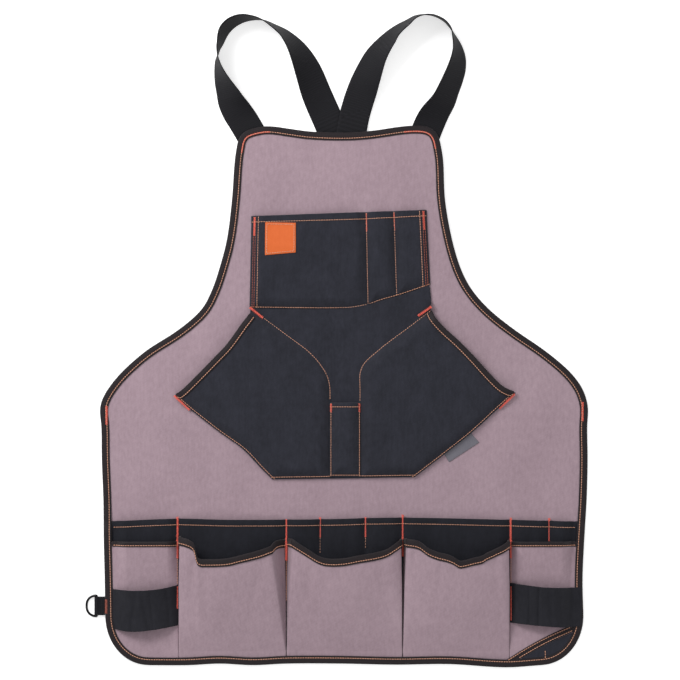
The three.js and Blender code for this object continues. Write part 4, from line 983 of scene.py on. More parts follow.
EDGE_STEPS, MOUTH_STEPS, LAST_STEPS = 40, 64, 8
hand_left = hand_side(HAND_EDGE_LEFT, HAND_MOUTH_LEFT, below_seam(0.0))
hand_right = hand_side(HAND_EDGE_RIGHT, HAND_MOUTH_RIGHT, below_seam(1.0))
TIP, MOUTH_END = EDGE_STEPS, EDGE_STEPS + MOUTH_STEPS
left_seam_curve, right_seam_curve = curve(HAND_SEAM_LEFT), curve(HAND_SEAM_RIGHT)
hand_bottom = np.stack([hand_left[0], hand_right[0]])
hand_seams = [left_seam_curve, right_seam_curve, hand_left[:TIP + 1:4], hand_right[:TIP + 1:4],
              hand_bottom, below_seam(np.linspace(0, 1, 20))]
hand_sewn = [left_seam_curve, right_seam_curve]


def hand_under(x, y):
    """The hand pocket's inner face: swollen on both sides of the flat middle strip."""
    base = panel_top(x, y) + BOUND_RISE
    middle = ((x > np.interp(y, left_seam_curve[:, 1], left_seam_curve[:, 0]))
              & (x < np.interp(y, right_seam_curve[:, 1], right_seam_curve[:, 0])))
    rise = np.where(middle, 0, swell(x, y, hand_seams, HAND_SWELL))
    return base + rise * (1 + 0.08 * drag(x, y)) + 0.2 * drag(x, y) * np.clip(rise / 3, 0.15, 1)


def hand_top(x, y):
    """The hand pocket's outer face."""
    return hand_under(x, y) + CLOTH + sewn(x, y, hand_sewn)


INSET = 1.7  # sideways, which is GAP + TAPE across the slanted edges
hand_edge = {"left": hand_left + [INSET, 0], "right": hand_right - [INSET, 0]}


def hand_mouth(side, count=120):
    """The two lines of a hand pocket's mouth tape. Near the tip the inner one keeps inside the
    pocket's lower edge."""
    hand = 1 if side == "left" else -1
    edge = hand_edge[side]
    mouth = spaced(edge[TIP:MOUTH_END + 1], count)
    inner = aside(mouth, -hand * (MOUTH_TAPE - GAP - TAPE))
    lower = unit(edge[TIP - 8] - edge[TIP])
    off = lambda p: hand * (lower[0] * (p - edge[TIP])[:, 1] - lower[1] * (p - edge[TIP])[:, 0])
    share = np.clip((off(mouth) - 0.8) / np.maximum(off(mouth) - off(inner), 1e-6), 0, 1)
    share = np.where(off(inner) < 0.8, share, 1.0)
    inner = mouth + (inner - mouth) * share[:, None]
    first = int(np.argmax(np.linalg.norm(inner - mouth, axis=1) > 2.5))
    return mouth[first:], inner[first:]


def seam_height(x):
    """The height up the apron of the hand pocket's top edge."""
    share = (x - CHEST_SEAM[0, 0]) / (CHEST_SEAM[-1, 0] - CHEST_SEAM[0, 0])
    across = np.clip(share, 0, 1)
    return chest_seam(across)[..., 1] - SEAM_ALLOWANCE


rows = len(hand_left)
s = np.linspace(0, 1, 240)[None, :, None]
plane = hand_edge["left"][:, None] * (1 - s) + hand_edge["right"][:, None] * s
blend_in = np.clip((np.arange(rows) - MOUTH_END) / (rows - 1 - MOUTH_END), 0, 1)[:, None]
plane[..., 1] = plane[..., 1] * (1 - blend_in) + seam_height(plane[..., 0]) * blend_in
hand = between("hand_pocket_cloth", plane, hand_under, hand_top, black_look, "hand_pocket")
hand_runs = []
for side in ("left", "right"):
    edge, inner = (lifted(line, hand_under) for line in hand_mouth(side))
    ups = flat_up(len(edge))
    folded_tape(f"hand_mouth_tape_{side}", edge, inner, ups, ups, CLOTH,
                                  [f"hand_binding_{side}"], stitch=HAND_TAPE_STITCH)
    hand_runs.append((inner + (edge - inner) * HAND_TAPE_STITCH + ups * (CLOTH + ON_TAPE), ups))


# Pen pocket

def pen_place(s, t):
    """A place on the pen pocket, by shares of its width and height."""
    x = HALF_WIDTH * (PEN_LEFT + (PEN_RIGHT - PEN_LEFT) * s) + 2.2 * s - 1.3
    return np.stack([x, LENGTH * (PEN_LOW + (PEN_HIGH - PEN_LOW) * t)], -1)


pen_sides = [pen_place(np.full(2, s), np.array([0.0, 1.0])) for s in (0.0, 1.0)]
pen_seams = pen_sides + [pen_place(np.array([0.0, 1.0]), np.zeros(2))]
PEN_HEM, PEN_DEEP = 4.6, 91.7
pen_hem = pen_place(np.linspace(0, 1, 12), np.full(12, 1 - PEN_HEM / PEN_DEEP))


def pen_under(x, y):
    """The pen pocket's inner face."""
    return hand_top(x, y) + GAP + swell(x, y, pen_seams, PEN_SWELL)


def pen_top(x, y):
    """The pen pocket's outer face, thicker at the hem by a soft step."""
    top, _ = near(x, y, pen_place(np.array([0.0, 1.0]), np.ones(2)))
    return pen_under(x, y) + CLOTH + 0.5 / (1 + np.exp((top - 5.4) * 2.2)) + sewn(x, y, [pen_hem])


share, t = np.meshgrid(np.linspace(0, 1, 36), np.linspace(0, 1, 84))
pen = between("pen_pocket_cloth", pen_place(share, t), pen_under, pen_top, black_look,
              "pen_pocket")


# Label and tag, both bare

def patch(name, corners, under, look, node, count=40):
    """A small four-cornered piece of cloth on a height function, by the bilinear blend of its corners."""
    a, b, c, d = corners
    s, t = np.meshgrid(np.linspace(0, 1, count), np.linspace(0, 1, count))
    s, t = s[..., None], t[..., None]
    plane = (a * (1 - s) + b * s) * (1 - t) + (d * (1 - s) + c * s) * t
    low = lifted(plane, lambda x, y: under(x, y) + GAP)
    return cloth(name, low, LABEL, look, [node], normals=straight_up(plane))


def shrunk(corners, by):
    """The four corners moved towards their middle by a distance, for a line sewn inside them."""
    middle = corners.mean(0)
    return corners + unit(middle - corners) * by * math.sqrt(2)


patch("orange_label_cloth", FRONT_LABEL, chest_top, label_look, "front_label")
patch("grey_tag_cloth", TAG, panel_top, tag_look, "side_tag")


# Waist: the black back layer in three lengths

seam_lines = [np.array([(x, 0.0), (x, LENGTH)]) for x in BACK_SEAMS]


def back_mouth(x):
    """How high the back layer's mouth is at a place across."""
    return follow(BACK_MOUTH, x)


def back_under(x, y):
    """The back layer's inner face: each slot swells, most at the mouth."""
    depth = back_mouth(x) - y
    wide_open = np.clip(1 - depth / SLOT_FADE, 0, 1)
    rise = wide_open * swell(x, y, seam_lines, SLOT_SWELL, EDGE_TAPE + FLAT_MARGIN)
    return panel_top(x, y) + GAP + rise


MAIN_SEAMS = [seam_lines[k] for k in (0, 1, 4, 5)]


def back_smooth(x, y):
    """The back layer's top without the dips of its narrow slots."""
    wide_open = np.clip(1 - (back_mouth(x) - y) / SLOT_FADE, 0, 1)
    rise = wide_open * swell(x, y, MAIN_SEAMS, SLOT_SWELL, EDGE_TAPE + FLAT_MARGIN)
    return panel_top(x, y) + GAP + CLOTH + rise


def back_top(x, y):
    """The back layer's outer face, with the step and the groove of its hem."""
    depth = back_mouth(x) - y
    hem = 0.5 / (1 + np.exp((depth - 7.6) * 2.2)) - 0.35 * np.exp(-((depth - 6.9) / 1.2) ** 2)
    return back_under(x, y) + CLOTH + hem


layer_edge = inside(TAPE + GAP + 1)
hem_in, right_in, _, left_in = between_corners(layer_edge)


def waist_plane(from_x, to_x, mouth, columns, rows, low_share=0.0):
    """A grid over a stretch of the waist, kept inside the panel's edge."""
    x = np.linspace(from_x, to_x, columns)
    lowest = np.interp(x, hem_in[:, 0], hem_in[:, 1])
    t = np.linspace(low_share, 1, rows)[:, None]
    y = lowest * (1 - t) + mouth(x) * t
    first = np.interp(y, left_in[:, 1], left_in[:, 0])
    last = np.interp(y, right_in[:, 1], right_in[:, 0])
    return np.stack([np.clip(np.broadcast_to(x, y.shape), first, last), y], -1)


HIP_LEFT, HIP_RIGHT = -297.1, 297.9
BACK_STEP = 1.9
back_ends = [HIP_LEFT, BACK_SEAMS[1], BACK_SEAMS[4], HIP_RIGHT]
# The back layer is drawn in the darker look, which is painted shade for the pockets' insides.
for name, a, b in zip(("left", "middle", "right"), back_ends[:-1], back_ends[1:]):
    a += GAP / 2 if name != "left" else 0
    b -= GAP / 2 if name != "right" else 0
    plane = waist_plane(a, b, back_mouth, int((b - a) / BACK_STEP), 90)
    between(f"back_pocket_cloth_{name}", plane, back_under, back_top, painted_shade_back_look,
                               f"back_layer_{name}")


# Side pockets

def side_under(x, y):
    """A side pocket's inner face: it swells between its seams, most at the mouth."""
    wide_open = np.clip(1 - (SIDE_MOUTH - y) / SIDE_FADE, 0, 1)
    return back_smooth(x, y) + BOUND_RISE + wide_open * swell(x, y, MAIN_SEAMS, SIDE_SWELL,
                                                             EDGE_TAPE + FLAT_MARGIN)


def side_top(x, y):
    """A side pocket's outer face."""
    return side_under(x, y) + CLOTH


side_left_end = BELLOWS["left"][0] * HALF_WIDTH - GAP
side_right_end = BELLOWS["right"][1] * HALF_WIDTH + GAP
SIDE_TAPE_COUNT = 70
side_pockets, side_tapes = [], []
for name, a, b in (("left", HIP_LEFT, side_left_end), ("right", side_right_end, HIP_RIGHT)):
    plane = waist_plane(a, b, lambda x: np.full_like(x, SIDE_MOUTH - GAP - TAPE), 64, 100)
    side_pockets.append(cloth(f"side_pocket_cloth_{name}", lifted(plane, side_under), CLOTH, canvas_look,
                              [f"side_pocket_{name}"], normals=straight_up(plane)))
    _, right_here, _, left_here = between_corners(inside(EDGE_TAPE + 2 * GAP))
    first = np.interp(SIDE_MOUTH, left_here[:, 1], left_here[:, 0])
    last = np.interp(SIDE_MOUTH, right_here[:, 1], right_here[:, 0])
    x = np.linspace(max(a, first), min(b, last), SIDE_TAPE_COUNT)
    ups = flat_up(SIDE_TAPE_COUNT)
    edge = lifted(np.stack([x, np.full_like(x, SIDE_MOUTH - GAP - TAPE)], 1), side_under)
    inner = lifted(np.stack([x, np.full_like(x, SIDE_MOUTH - WAIST_TAPE)], 1), side_under)
    side_tapes.append(folded_tape(f"side_mouth_tape_{name}", edge, inner, ups, ups, CLOTH,
                                  [f"side_binding_{name}"]))


# Bellows pockets: each row goes up a gusset wall, across the front and down the other wall

RIM_ROOM = 0.75  # for the rounded edge of cloth that lies flat
WALL_ROOM = CLOTH + GAP / 2
TAPE_ROOM = WALL_ROOM + GAP + TAPE
FOLD_HEM = 0.5
HEM_FLAT = 11
WALL_SHARE = 0.8


def bellows_grid(pocket, openness, base_row, shares, gusset=9):
    """Rows of a bellows pocket. openness is 0 at the hem and 1 at the mouth, and base_row gives
    a row's height up the apron from how far the mouth's line drops there."""
    seam_left, seam_right, fold_left, fold_right, _, mouth, drop_left, drop_right = pocket
    openness = np.asarray(openness)[:, None]
    room = np.interp(openness, [0, 0.08, 0.6, 0.96, 1],
                     [RIM_ROOM, WALL_ROOM, WALL_ROOM + 0.15, TAPE_ROOM, TAPE_ROOM])
    left = seam_left * HALF_WIDTH + room
    right = seam_right * HALF_WIDTH - room
    inner_left = left + FOLD_HEM + (fold_left - FOLD_HEM) * openness
    inner_right = right - FOLD_HEM - (fold_right - FOLD_HEM) * openness
    stand = BELLOWS_HEIGHT * np.sin(openness * math.pi / 2)
    g = np.append(np.linspace(0, 0.93, gusset - 2), [0.97, 0.99])[None]
    round_off = 1 - np.exp(-np.minimum(shares, 1 - shares) * 60)
    crown = WALL_SHARE + (1 - WALL_SHARE) * np.sin(shares * math.pi)
    x = np.concatenate([left + (inner_left - left) * g,
                        inner_left + (inner_right - inner_left) * shares,
                        (right + (inner_right - right) * g)[:, ::-1]], 1)
    wall = stand * WALL_SHARE * 0.92 * g ** 1.7
    rise = np.concatenate([wall, stand * crown * (0.92 + 0.08 * round_off), wall[:, ::-1]], 1)
    front_drop = follow(mouth, shares)
    wall_left = drop_left + (front_drop[0] - drop_left) * g[0] ** 4
    wall_right = drop_right + (front_drop[-1] - drop_right) * g[0] ** 4
    drop = np.concatenate([wall_left, front_drop, wall_right[::-1]])
    y = base_row(drop, openness)
    dent = 1.0 * np.sin(x / 17 + 2 * y / 60) * np.sin(y / 34 + 1) * np.clip(rise / 10, 0, 1)
    return np.stack([x, y, back_smooth(x, y) + BOUND_RISE + rise + dent - creases(x, y)], -1)


CREASES = [  # from, to, depth, half width
    ((87.5, 141.2), (81.2, 106.2), 1.3, 3.5), ((-175.0, 116.2), (-171.2, 53.8), 1.2, 5.0),
    ((-102.5, 131.2), (-122.5, 31.2), 1.0, 7.0), ((45.0, 123.8), (60.0, 56.2), 0.9, 6.0),
    ((-40.0, 123.8), (-51.2, 68.8), 0.9, 5.0), ((187.5, 131.2), (195.0, 62.5), 1.0, 6.0),
    ((120.0, 123.8), (115.0, 81.2), 0.7, 4.0), ((-186.2, 131.2), (-192.5, 81.2), 0.9, 3.5),
]


def creases(x, y):
    """Soft dents along short lines, which fade out at both ends."""
    total = 0
    for a, b, depth, wide in CREASES:
        a, b = np.array(a), np.array(b)
        along = ((x - a[0]) * (b - a)[0] + (y - a[1]) * (b - a)[1]) / ((b - a) @ (b - a))
        d, _ = near(x, y, np.stack([a, b]))
        total = total + depth * np.exp(-(d / wide) ** 2) * np.clip(1.15 - along, 0.3, 1)
    return total


LIP_START = 0.97  # where the mouth's tape begins, of the way from shut to open
shares = np.linspace(0, 1, 136)
bellows_pieces, bellows_tapes, mouth_runs = {}, {}, []
for name, pocket in BELLOWS.items():
    top_line = pocket[4] * LENGTH
    foot = TAPE + GAP + 1 + 0.004 * LENGTH

    def body_up(drop, openness):
        lip = top_line - MOUTH_SAG * drop - WAIST_TAPE
        y = (foot + HEM_FLAT) * (1 - openness) + lip * openness
        y[0] = foot
        return y

    def tape_up(drop, openness):
        t = (openness - LIP_START) / (1 - LIP_START)
        return top_line - MOUTH_SAG * drop - WAIST_TAPE * (1 - t) - (GAP + TAPE) * t

    body_rows = np.concatenate([[0], np.linspace(0.012, LIP_START, 75)])
    body = bellows_grid(pocket, body_rows, body_up, shares)
    lip = bellows_grid(pocket, np.linspace(LIP_START, 1, 8)[1:], tape_up, shares)
    grid = np.concatenate([body, lip])
    normals = grid_normals(grid)
    steps = np.linalg.norm(np.diff(grid, axis=1), axis=2)
    across = np.concatenate([np.zeros((len(grid), 1)), np.cumsum(steps, 1)], 1)
    bellows_pieces[name] = cloth(f"bellows_pocket_cloth_{name}", grid, CLOTH, canvas_look,
                                 [f"pocket_{name}"], normals=normals,
                                 uv=np.stack([across, grid[..., 1]], -1))
    edge, inner = grid[-1], grid[len(body) - 1]
    up_edge, up_inner = normals[-1], normals[len(body) - 1]
    bellows_tapes[name] = folded_tape(f"bellows_mouth_tape_{name}", edge, inner, up_edge, up_inner,
                                      CLOTH, [f"binding_{name}"])
    line = inner + (edge - inner) * TAPE_STITCH
    up = unit(up_inner + (up_edge - up_inner) * TAPE_STITCH)
    mouth_runs.append((line + up * (CLOTH + ON_TAPE), up))


# Hammer loops: the upper and lower edge, the arch as shares of the bulge, and the upright creases
# by place, slant, depth and half width

LOOPS = {
    "left": ([(-292.5, 95.0), (-255.0, 93.8), (-227.5, 96.2), (-203.8, 101.2)],
             [(-292.5, 47.5), (-268.8, 43.3), (-241.2, 45.0), (-205.0, 51.2)],
             [(0, 0), (0.12, 0.45), (0.28, 0.85), (0.5, 1), (0.72, 0.85), (0.88, 0.45), (1, 0)],
             [(0.32, 0.1, 1.2, 0.04), (0.5, -0.12, 1.7, 0.04), (0.6, -0.05, 1.0, 0.025),
              (0.85, -0.05, 1.3, 0.03)]),
    "right": ([(207.5, 102.9), (232.5, 100.0), (250.0, 98.1), (291.2, 96.9), (300.0, 97.5)],
              [(207.5, 54.1), (250.0, 50.0), (277.5, 48.3), (300.0, 50.0)],
              [(0, 0), (0.12, 0.45), (0.28, 0.85), (0.48, 1), (0.66, 0.88), (0.78, 0.5), (0.86, 0.16),
               (1, 0.14)],
              [(0.26, 0.0, 1.5, 0.025), (0.39, 0.01, 1.7, 0.025), (0.55, -0.02, 1.0, 0.035)]),
}


def hammer_loop(name, from_x, to_x, over_edge):
    """A band that stands in an arch. Its edges follow their own lines, soft creases cross it,
    and the end that is sewn over the binding turns down at the edge."""
    high_line, low_line, arch, folds = LOOPS[name]
    shares = np.linspace(0, 1, 110)
    t = np.linspace(0, 1, 44)[:, None]
    start_x = np.array([from_x])
    near_y = follow(low_line, start_x) * (1 - t) + follow(high_line, start_x) * t
    if over_edge:
        first = np.full_like(near_y, from_x)
    else:
        first = np.interp(near_y, left_here[:, 1], left_here[:, 0])
    x = first + (to_x - first) * shares
    y = follow(low_line, x) * (1 - t) + follow(high_line, x) * t
    height = follow(arch, shares) * LOOP_BULGE
    crease = 0
    for place, slant, depth, wide in folds:
        crease = crease - depth * np.exp(-((shares - place - slant * (t - 0.5)) / wide) ** 2)
    sag = -0.8 * np.sin(t * math.pi) * np.sin(shares * math.pi)
    turn = -4.5 * np.clip((shares - 0.965) / 0.035, 0, 1) ** 2 if over_edge else 0
    z = side_top(x, y) + GAP + height + crease * np.sqrt(np.sin(shares * math.pi).clip(0)) + sag + turn
    return cloth(f"hammer_loop_cloth_{name}", np.stack([x, y, np.maximum(z, LOOP_LOWEST)], -1), CLOTH,
                 loop_look, [f"hammer_loop_{name}"])


_, _, _, left_here = between_corners(inside(EDGE_TAPE + GAP))
loop_start = max(np.interp([0.073 * LENGTH, 0.143 * LENGTH], left_here[:, 1], left_here[:, 0]))
loop_end = np.interp(0.077 * LENGTH, SIDE_ROWS[:, 0], SIDE_ROWS[:, 2]) - 2.0
left_loop = hammer_loop("left", loop_start, side_left_end - GAP, False)
right_loop = hammer_loop("right", side_right_end + GAP, loop_end, True)


# Corner patch and its tape, cut along the binding's inner edge

CORNER_TAPE = 7
CORNER_LINE = at([(0.672, 0.012), (0.949, 0.078)])
corner_in = inside(EDGE_TAPE + 0.4)
slope = (CORNER_LINE[1, 1] - CORNER_LINE[0, 1]) / (CORNER_LINE[1, 0] - CORNER_LINE[0, 0])


def corner_cut(drop):
    """Where a line below the corner tape's upper edge meets the binding, at hem and side."""
    fall = drop * math.hypot(1, slope)
    above = corner_in[:, 1] - (CORNER_LINE[0, 1] + slope * (corner_in[:, 0] - CORNER_LINE[0, 0]) - fall)
    ours = corner_in[:, 0] > 150
    change = (np.sign(above) != np.sign(np.roll(above, -1))) & ours & (corner_in[:, 1] < 120)
    found = corner_in[change]
    found = found[np.argsort(found[:, 0])]
    return found[0], found[-1]


def corner_base(x, y):
    """What the corner patch lies on."""
    return side_top(x, y) + GAP


def bent(a, b, count, bow):
    """A nearly straight line from a to b that bows sideways, as the sewn tape does."""
    t = np.linspace(0, 1, count)[:, None]
    across = unit(np.array([[-(b - a)[1], (b - a)[0]]]))
    return a * (1 - t) + b * t + across * bow * np.sin(math.pi * t)


high = bent(*corner_cut(0), 60, 2.6)
low_line = bent(*corner_cut(CORNER_TAPE), 60, 1.6)
t = np.linspace(0, 1, 12)[:, None, None]
plane = high[None] * t + low_line[None] * t[::-1]
cloth("corner_tape_cloth", lifted(plane, corner_base), TAPE, tape_look, ["corner_tape"],
      normals=straight_up(plane))
start_cut, end_cut = corner_cut(CORNER_TAPE + GAP)
upper = bent(start_cut, end_cut, 60, 1.6)
i = int(np.argmin(np.hypot(*(corner_in - start_cut).T)))
j = int(np.argmin(np.hypot(*(corner_in - end_cut).T)))
below = spaced(corner_in[i:j + 1], 60)
t = np.linspace(0.01, 0.99, 20)[:, None, None]
plane = below[None] * (1 - t) + upper[None] * t
cloth("corner_patch_cloth", lifted(plane, corner_base), CLOTH, black_look,
      ["corner_patch"], normals=straight_up(plane))


# D-ring and its tab at the left hip

WIRE, RING_WIDTH, RING_REACH = 3.0, 29.0, 14.5
TAB_WEBBING, TAB_LENGTH, TAB_TUCK, BAR_HEIGHT = 1.2, 10.0, 0.4, 3.3
ring_up = 0.11 * LENGTH
hip_x = -follow(SIDE_ROWS[:, [0, 1]], ring_up) - GAP - TAB_LENGTH
hip = np.array([hip_x, ring_up, BAR_HEIGHT])


def ring_mesh():
    """Round wire along a D: a bow of half a squarish circle, and the straight bar."""
    half, reach = (RING_WIDTH - WIRE) / 2, RING_REACH - WIRE / 2
    angle = np.linspace(-math.pi / 2, math.pi / 2, 60)
    flat = np.sign(np.sin(angle)) * np.abs(np.sin(angle)) ** 0.8
    bow = np.stack([-reach * np.cos(angle), half * flat], 1)
    bar = np.stack([np.zeros(24), np.linspace(half, -half, 26)[1:-1]], 1)
    path = softened(closed_spaced(np.concatenate([bow, bar]), 110), 4)
    ahead = unit(np.roll(path, -1, 0) - np.roll(path, 1, 0))
    around = np.linspace(0, 2 * math.pi, 14, endpoint=False)
    side = np.stack([-ahead[:, 1], ahead[:, 0], np.zeros(len(path))], 1)
    centre = np.concatenate([path, np.zeros((len(path), 1))], 1)
    sections = centre[:, None] + WIRE / 2 * (side[:, None] * np.cos(around)[:, None]
                                             + np.array([0, 0, 1.0]) * np.sin(around)[:, None])
    tilt = -math.asin((BAR_HEIGHT - WIRE / 2) / (RING_REACH - WIRE / 2))
    x, z = sections[..., 0].copy(), sections[..., 2].copy()
    sections[..., 0] = x * math.cos(tilt) + z * math.sin(tilt)
    sections[..., 2] = -x * math.sin(tilt) + z * math.cos(tilt)
    return sweep("hip_ring", sections + hip, ring_look, ["d_ring"], closed=True)


def tab_mesh():
    """Webbing folded round the ring's bar, its two legs one on the other."""
    centre = WIRE / 2 + GAP + TAB_WEBBING / 2
    angle = np.linspace(math.radians(55), math.radians(305), 40)
    bend = np.stack([centre * np.cos(angle), centre * np.sin(angle)], 1)
    leg = TAB_WEBBING / 2 + 0.03
    path = np.concatenate([[(TAB_LENGTH - 0.1, leg), (centre + 2.2, leg + 0.15)], bend,
                           [(centre + 2.2, -leg - 0.15), (TAB_LENGTH - 0.1, -leg)]])
    path = spaced(curve(path, 4), 90)
    length = RING_WIDTH - 2 * WIRE - 2 * TAB_TUCK
    width = np.linspace(length / 2, -length / 2, 16)
    grid = np.stack([np.broadcast_to(path[:, None, 0], (90, 16)), np.broadcast_to(width, (90, 16)),
                     np.broadcast_to(path[:, None, 1], (90, 16))], -1)
    normals = grid_normals(grid)
    low = grid + hip - normals * TAB_WEBBING / 2
    uv = np.stack(np.meshgrid(width, lengths(path)), -1)
    return cloth("hip_ring_tab_webbing", low, TAB_WEBBING, webbing_look, ["d_ring_tab"],
                 normals=normals, uv=uv)


ring_mesh()
tab_mesh()


# Sewing

def tail(line, length, before=0.8):
    """The last stretch of a line."""
    far = lengths(line)[-1]
    where = np.linspace(far - length, far - before, max(int(length / SAMPLE), 2))
    return np.stack([np.interp(where, lengths(line), line[:, k]) for k in (0, 1)], 1)


def raised(line, height):
    """A line in the plane at a height function, with the way up straight up."""
    line = np.asarray(line, float)
    line = spaced(line, max(int(lengths(line)[-1] / SAMPLE), 3))
    return lifted(line, height), flat_up(len(line))


edge_face = held_at(binding_edge[:, 1])[:, None] + ON_TAPE
edge_points = binding_inner + (binding_edge - binding_inner) * TAPE_STITCH
edge_points = edge_points + all_up * edge_face
edge_run = (np.concatenate([edge_points, edge_points[:1]]), flat_up(OUTLINE_COUNT + 1))
side_runs = []
for name, a, b in (("left", HIP_LEFT + 9, side_left_end), ("right", side_right_end, HIP_RIGHT - 9)):
    line = np.stack([np.linspace(a, b, 60), np.full(60, SIDE_MOUTH - WAIST_TAPE + 1.7)], 1)
    side_runs.append(raised(line, lambda x, y: side_top(x, y) + ON_TAPE))
corner_face = lambda x, y: corner_base(x, y) + TAPE - 0.1
corner_runs = [raised(aside(high, -1.4), corner_face), raised(aside(low_line, 1.4), corner_face),
               raised([(251.2, 18.8), (251.2, 8.8)], lambda x, y: corner_base(x, y) + CLOTH)]
sewing("edge_stitching", [edge_run], thread_look)
sewing("mouth_stitching", hand_runs + side_runs + mouth_runs + corner_runs, thread_look)

lower_edges = [hand_edge["left"][:TIP + 1] + [3.4, 0], hand_edge["right"][:TIP + 1] - [3.4, 0]]
pocket_lines = [chest_hem, chest_across(0.012), chest_line(SIDE_BAND), chest_line(1 - SIDE_BAND)]
above_chest = lambda x, y: chest_top(x, y) + 0.2
above_hand = lambda x, y: hand_top(x, y) + 0.15
pocket_runs = [on(line, above_chest) for line in pocket_lines + pen_slots]
hand_lines = lower_edges + [hand_bottom + [0, 2.6]]
hand_lines += [line[line[:, 1] > PEN_HIGH * LENGTH] for line in (left_seam_curve, right_seam_curve)]
pocket_runs += [on(line, above_hand) for line in hand_lines]
pen_foot = pen_place(np.array([0, 1]), np.full(2, 0.02))
pen_lines = [pen_hem, pen_sides[0] + [1.3, 0], pen_sides[1] - [1.3, 0], pen_foot]
pocket_runs += [on(line, pen_top) for line in pen_lines]
label_line = shrunk(FRONT_LABEL, 1.8)
label_line = np.concatenate([label_line, label_line[:1]])
pocket_runs.append(on(label_line, lambda x, y: chest_top(x, y) + GAP + LABEL))
sewing("pocket_stitching", pocket_runs, thread_look, radius=FINE_THREAD)

band_runs = [on(chest_line(share), above_chest) for share in (0.012, 0.023, 0.977, 0.988)]
sewing("band_stitching", band_runs, dark_thread_look, radius=FINE_THREAD)

waist_ends = ((HIP_LEFT + 9, back_ends[1]), (back_ends[1], back_ends[2]), (back_ends[2], HIP_RIGHT - 9))
waist_runs = []
for a, b in waist_ends:
    x = np.linspace(a, b, 160)
    waist_runs.append(on(np.stack([x, back_mouth(x) - 7.0], 1), back_top))
sewing("waist_stitching", waist_runs, thread_look, radius=FINE_THREAD)


# Bartacks

def upright(x, low, high):
    """A line straight up the apron."""
    return np.array([(x, low), (x, high)])


def valley(x, y):
    """Over the back layer, and below its hem over the feet of the bellows' walls."""
    step = np.clip((158.8 - y) / 4, 0, 1)
    return back_top(x, y) * (1 - step) + (back_smooth(x, y) + BOUND_RISE + 3.4) * step


def side_face(x, y):
    """Over the back layer, a side pocket's mouth tape, its cloth and the hammer loop's end."""
    tape_part = np.clip((SIDE_MOUTH + 1 - y) / 2, 0, 1)
    after = np.clip((SIDE_MOUTH - WAIST_TAPE - y) / 2, 0, 1) * 0.9
    height = side_top(x, y) + (GAP + TAPE) * (1 - after) + 0.2
    return back_top(x, y) * (1 - tape_part) + height * tape_part


def loop_face(x, y):
    """Over the sewn end of a hammer loop."""
    return side_top(x, y) + 2 * GAP + CLOTH


def tip_face(x, y):
    """Over a hand pocket's mouth tape near its tip, and over its cloth further on."""
    return hand_top(x, y) + (GAP + TAPE) * np.clip((y - 323.8) / 6, 0, 1) + 0.15


seam_left, inner_left, narrow_left, narrow_right, inner_right, seam_right, hip_slot = BACK_SEAMS
# From and to
TIP_TACKS = [[(-211.9, 336.9), (-192.5, 318.8)], [(213.1, 338.8), (193.8, 320.6)]]
POCKET_CORNER_TACKS = [[(-117.5, 446.9), (-101.2, 433.8)], [(108.8, 447.5), (92.5, 436.2)]]
HIP_TACKS = [[(-296.5, 300.5), (-296.5, 323.8)], [(297.8, 305.0), (298.0, 328.8)]]
CHEST_TACKS, CHEST_TACK_LENGTH = (0.017, *PEN_SLOTS, 0.983), 24
# Across, from and to up the apron, and the face that the tack lies on
UPRIGHT_TACKS = [
    (seam_left - 1.2, 133.8, 185.6, side_face), (seam_right + 1.2, 133.8, 184.4, side_face),
    (inner_left, 131.2, 182.5, valley), (inner_right, 136.2, 188.1, valley),
    (seam_left - 1.6, 71.2, 98.8, loop_face), (seam_right + 2.0, 56.2, 98.8, loop_face),
]
THIN_SEAMS = [
    (seam_left - 1.2, 101.2, 133.8, side_face), (seam_right + 1.2, 101.2, 133.8, side_face),
    (inner_left, 81.2, 131.2, valley),
]


def corner_tack(x, y):
    """Over the hand pocket's mouth tape at its upper corner."""
    return hand_top(x, y) + GAP + TAPE + 0.3


tack_runs = [on(upright(x, low, high), back_top)
             for x, low, high in ((narrow_left, 160.0, 185.0), (narrow_right, 160.0, 185.0),
                                  (hip_slot, 155.0, 183.8))]
tack_runs += [raised(upright(x, low, high), face) for x, low, high, face in UPRIGHT_TACKS]
tack_runs += [on(tail(chest_line(share), CHEST_TACK_LENGTH), chest_top) for share in CHEST_TACKS]
tack_runs += [raised(ends, tip_face) for ends in TIP_TACKS]
tack_runs += [raised(ends, corner_tack) for ends in POCKET_CORNER_TACKS]
tack_runs += [on(upright(x, 316.2, 326.9), pen_top) for x in (-16.1, 19.3)]
tack_runs += [raised(ends, binding_top) for ends in HIP_TACKS]
tacks("bartacks", tack_runs, tack_look)
tacks("ring_tab_tack", [raised(upright(-296.8, 65.0, 82.5), binding_top)], dark_thread_look)
thin_runs = [on(upright(narrow_left, 140.0, 160.0), back_top),
             on(upright(narrow_right, 146.2, 160.0), back_top)]
thin_runs += [raised(upright(x, low, high), face) for x, low, high, face in THIN_SEAMS]
sewing("seam_thread", thin_runs, thread_look, radius=THIN_THREAD)
# The bib's two top corners, where the edge is sewn in the tacks' thread
BIB_CORNERS = [((-136, 640), (-91, 680)), ((74, 643), (120, 680))]
line = edge_run[0]
corner_runs = []
for low, high in BIB_CORNERS:
    ours = ((line[:, :2] > low) & (line[:, :2] < high)).all(1)
    corner_runs.append((line[ours], flat_up(ours.sum())))
tacks("corner_tacks", corner_runs, tack_look, width=CORNER_TACK_WIDTH)
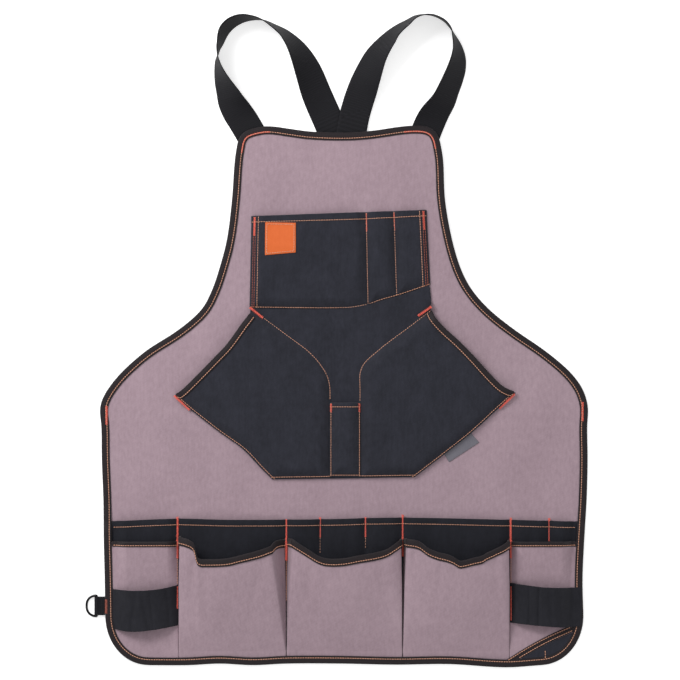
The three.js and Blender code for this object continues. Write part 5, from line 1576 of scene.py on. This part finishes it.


# Floor, light and camera

def floor():
    """A pale floor that shines a little, as a lit paper sweep does."""
    mesh = bpy.data.meshes.new("floor")
    mesh.from_pydata([(-6, -6, 0), (6, -6, 0), (6, 6, 0), (-6, 6, 0)], [], [(0, 1, 2, 3)])
    look, shader = start("pale_floor", 0.9, specular=0.0)
    shader.inputs["Base Color"].default_value = (0.9, 0.9, 0.9, 1)
    shader.inputs["Emission Color"].default_value = (1, 1, 1, 1)
    shader.inputs["Emission Strength"].default_value = 0.55
    mesh.materials.append(look)
    piece = bpy.data.objects.new("floor", mesh)
    bpy.context.scene.collection.objects.link(piece)
    return piece


def light(name, power, size, place, target=(0, 0, 0)):
    """A square lamp that faces a target: metres and watts."""
    data = bpy.data.lights.new(name, "AREA")
    data.energy = power
    data.shape = "SQUARE"
    data.size = size
    lamp = bpy.data.objects.new(name, data)
    lamp.location = place
    way = np.array(target, float) - np.array(place, float)
    lamp.rotation_euler = (math.acos(-way[2] / np.linalg.norm(way)), 0, math.atan2(-way[0], way[1]))
    bpy.context.scene.collection.objects.link(lamp)


floor()
light("upper_left_light", 40, 1.0, (-1.3, 1.3, 1.5))
light("right_light", 6, 2.2, (2.0, 0.3, 2.0))
light("lower_light", 6, 2.2, (0.0, -2.0, 2.0))
world = bpy.data.worlds.new("studio")
bpy.context.scene.world = world
world.use_nodes = True
world.node_tree.nodes["Background"].inputs["Color"].default_value = (1, 1, 1, 1)
world.node_tree.nodes["Background"].inputs["Strength"].default_value = 0.55

# Straight down from 5 m; the lens and place give 1.25 mm a pixel on the floor at 680 pixels
CAMERA_PLACE = (0.0041, 0.0007, 5.0)
CAMERA_LENS, CAMERA_SENSOR, CAMERA_REACH = 211.8, 36, 20
camera_data = bpy.data.cameras.new("camera")
camera_data.lens = CAMERA_LENS
camera_data.sensor_width = CAMERA_SENSOR
camera_data.clip_end = CAMERA_REACH
camera = bpy.data.objects.new("camera", camera_data)
camera.location = CAMERA_PLACE
bpy.context.scene.collection.objects.link(camera)
bpy.context.scene.camera = camera
bpy.context.scene.view_settings.view_transform = "Standard"
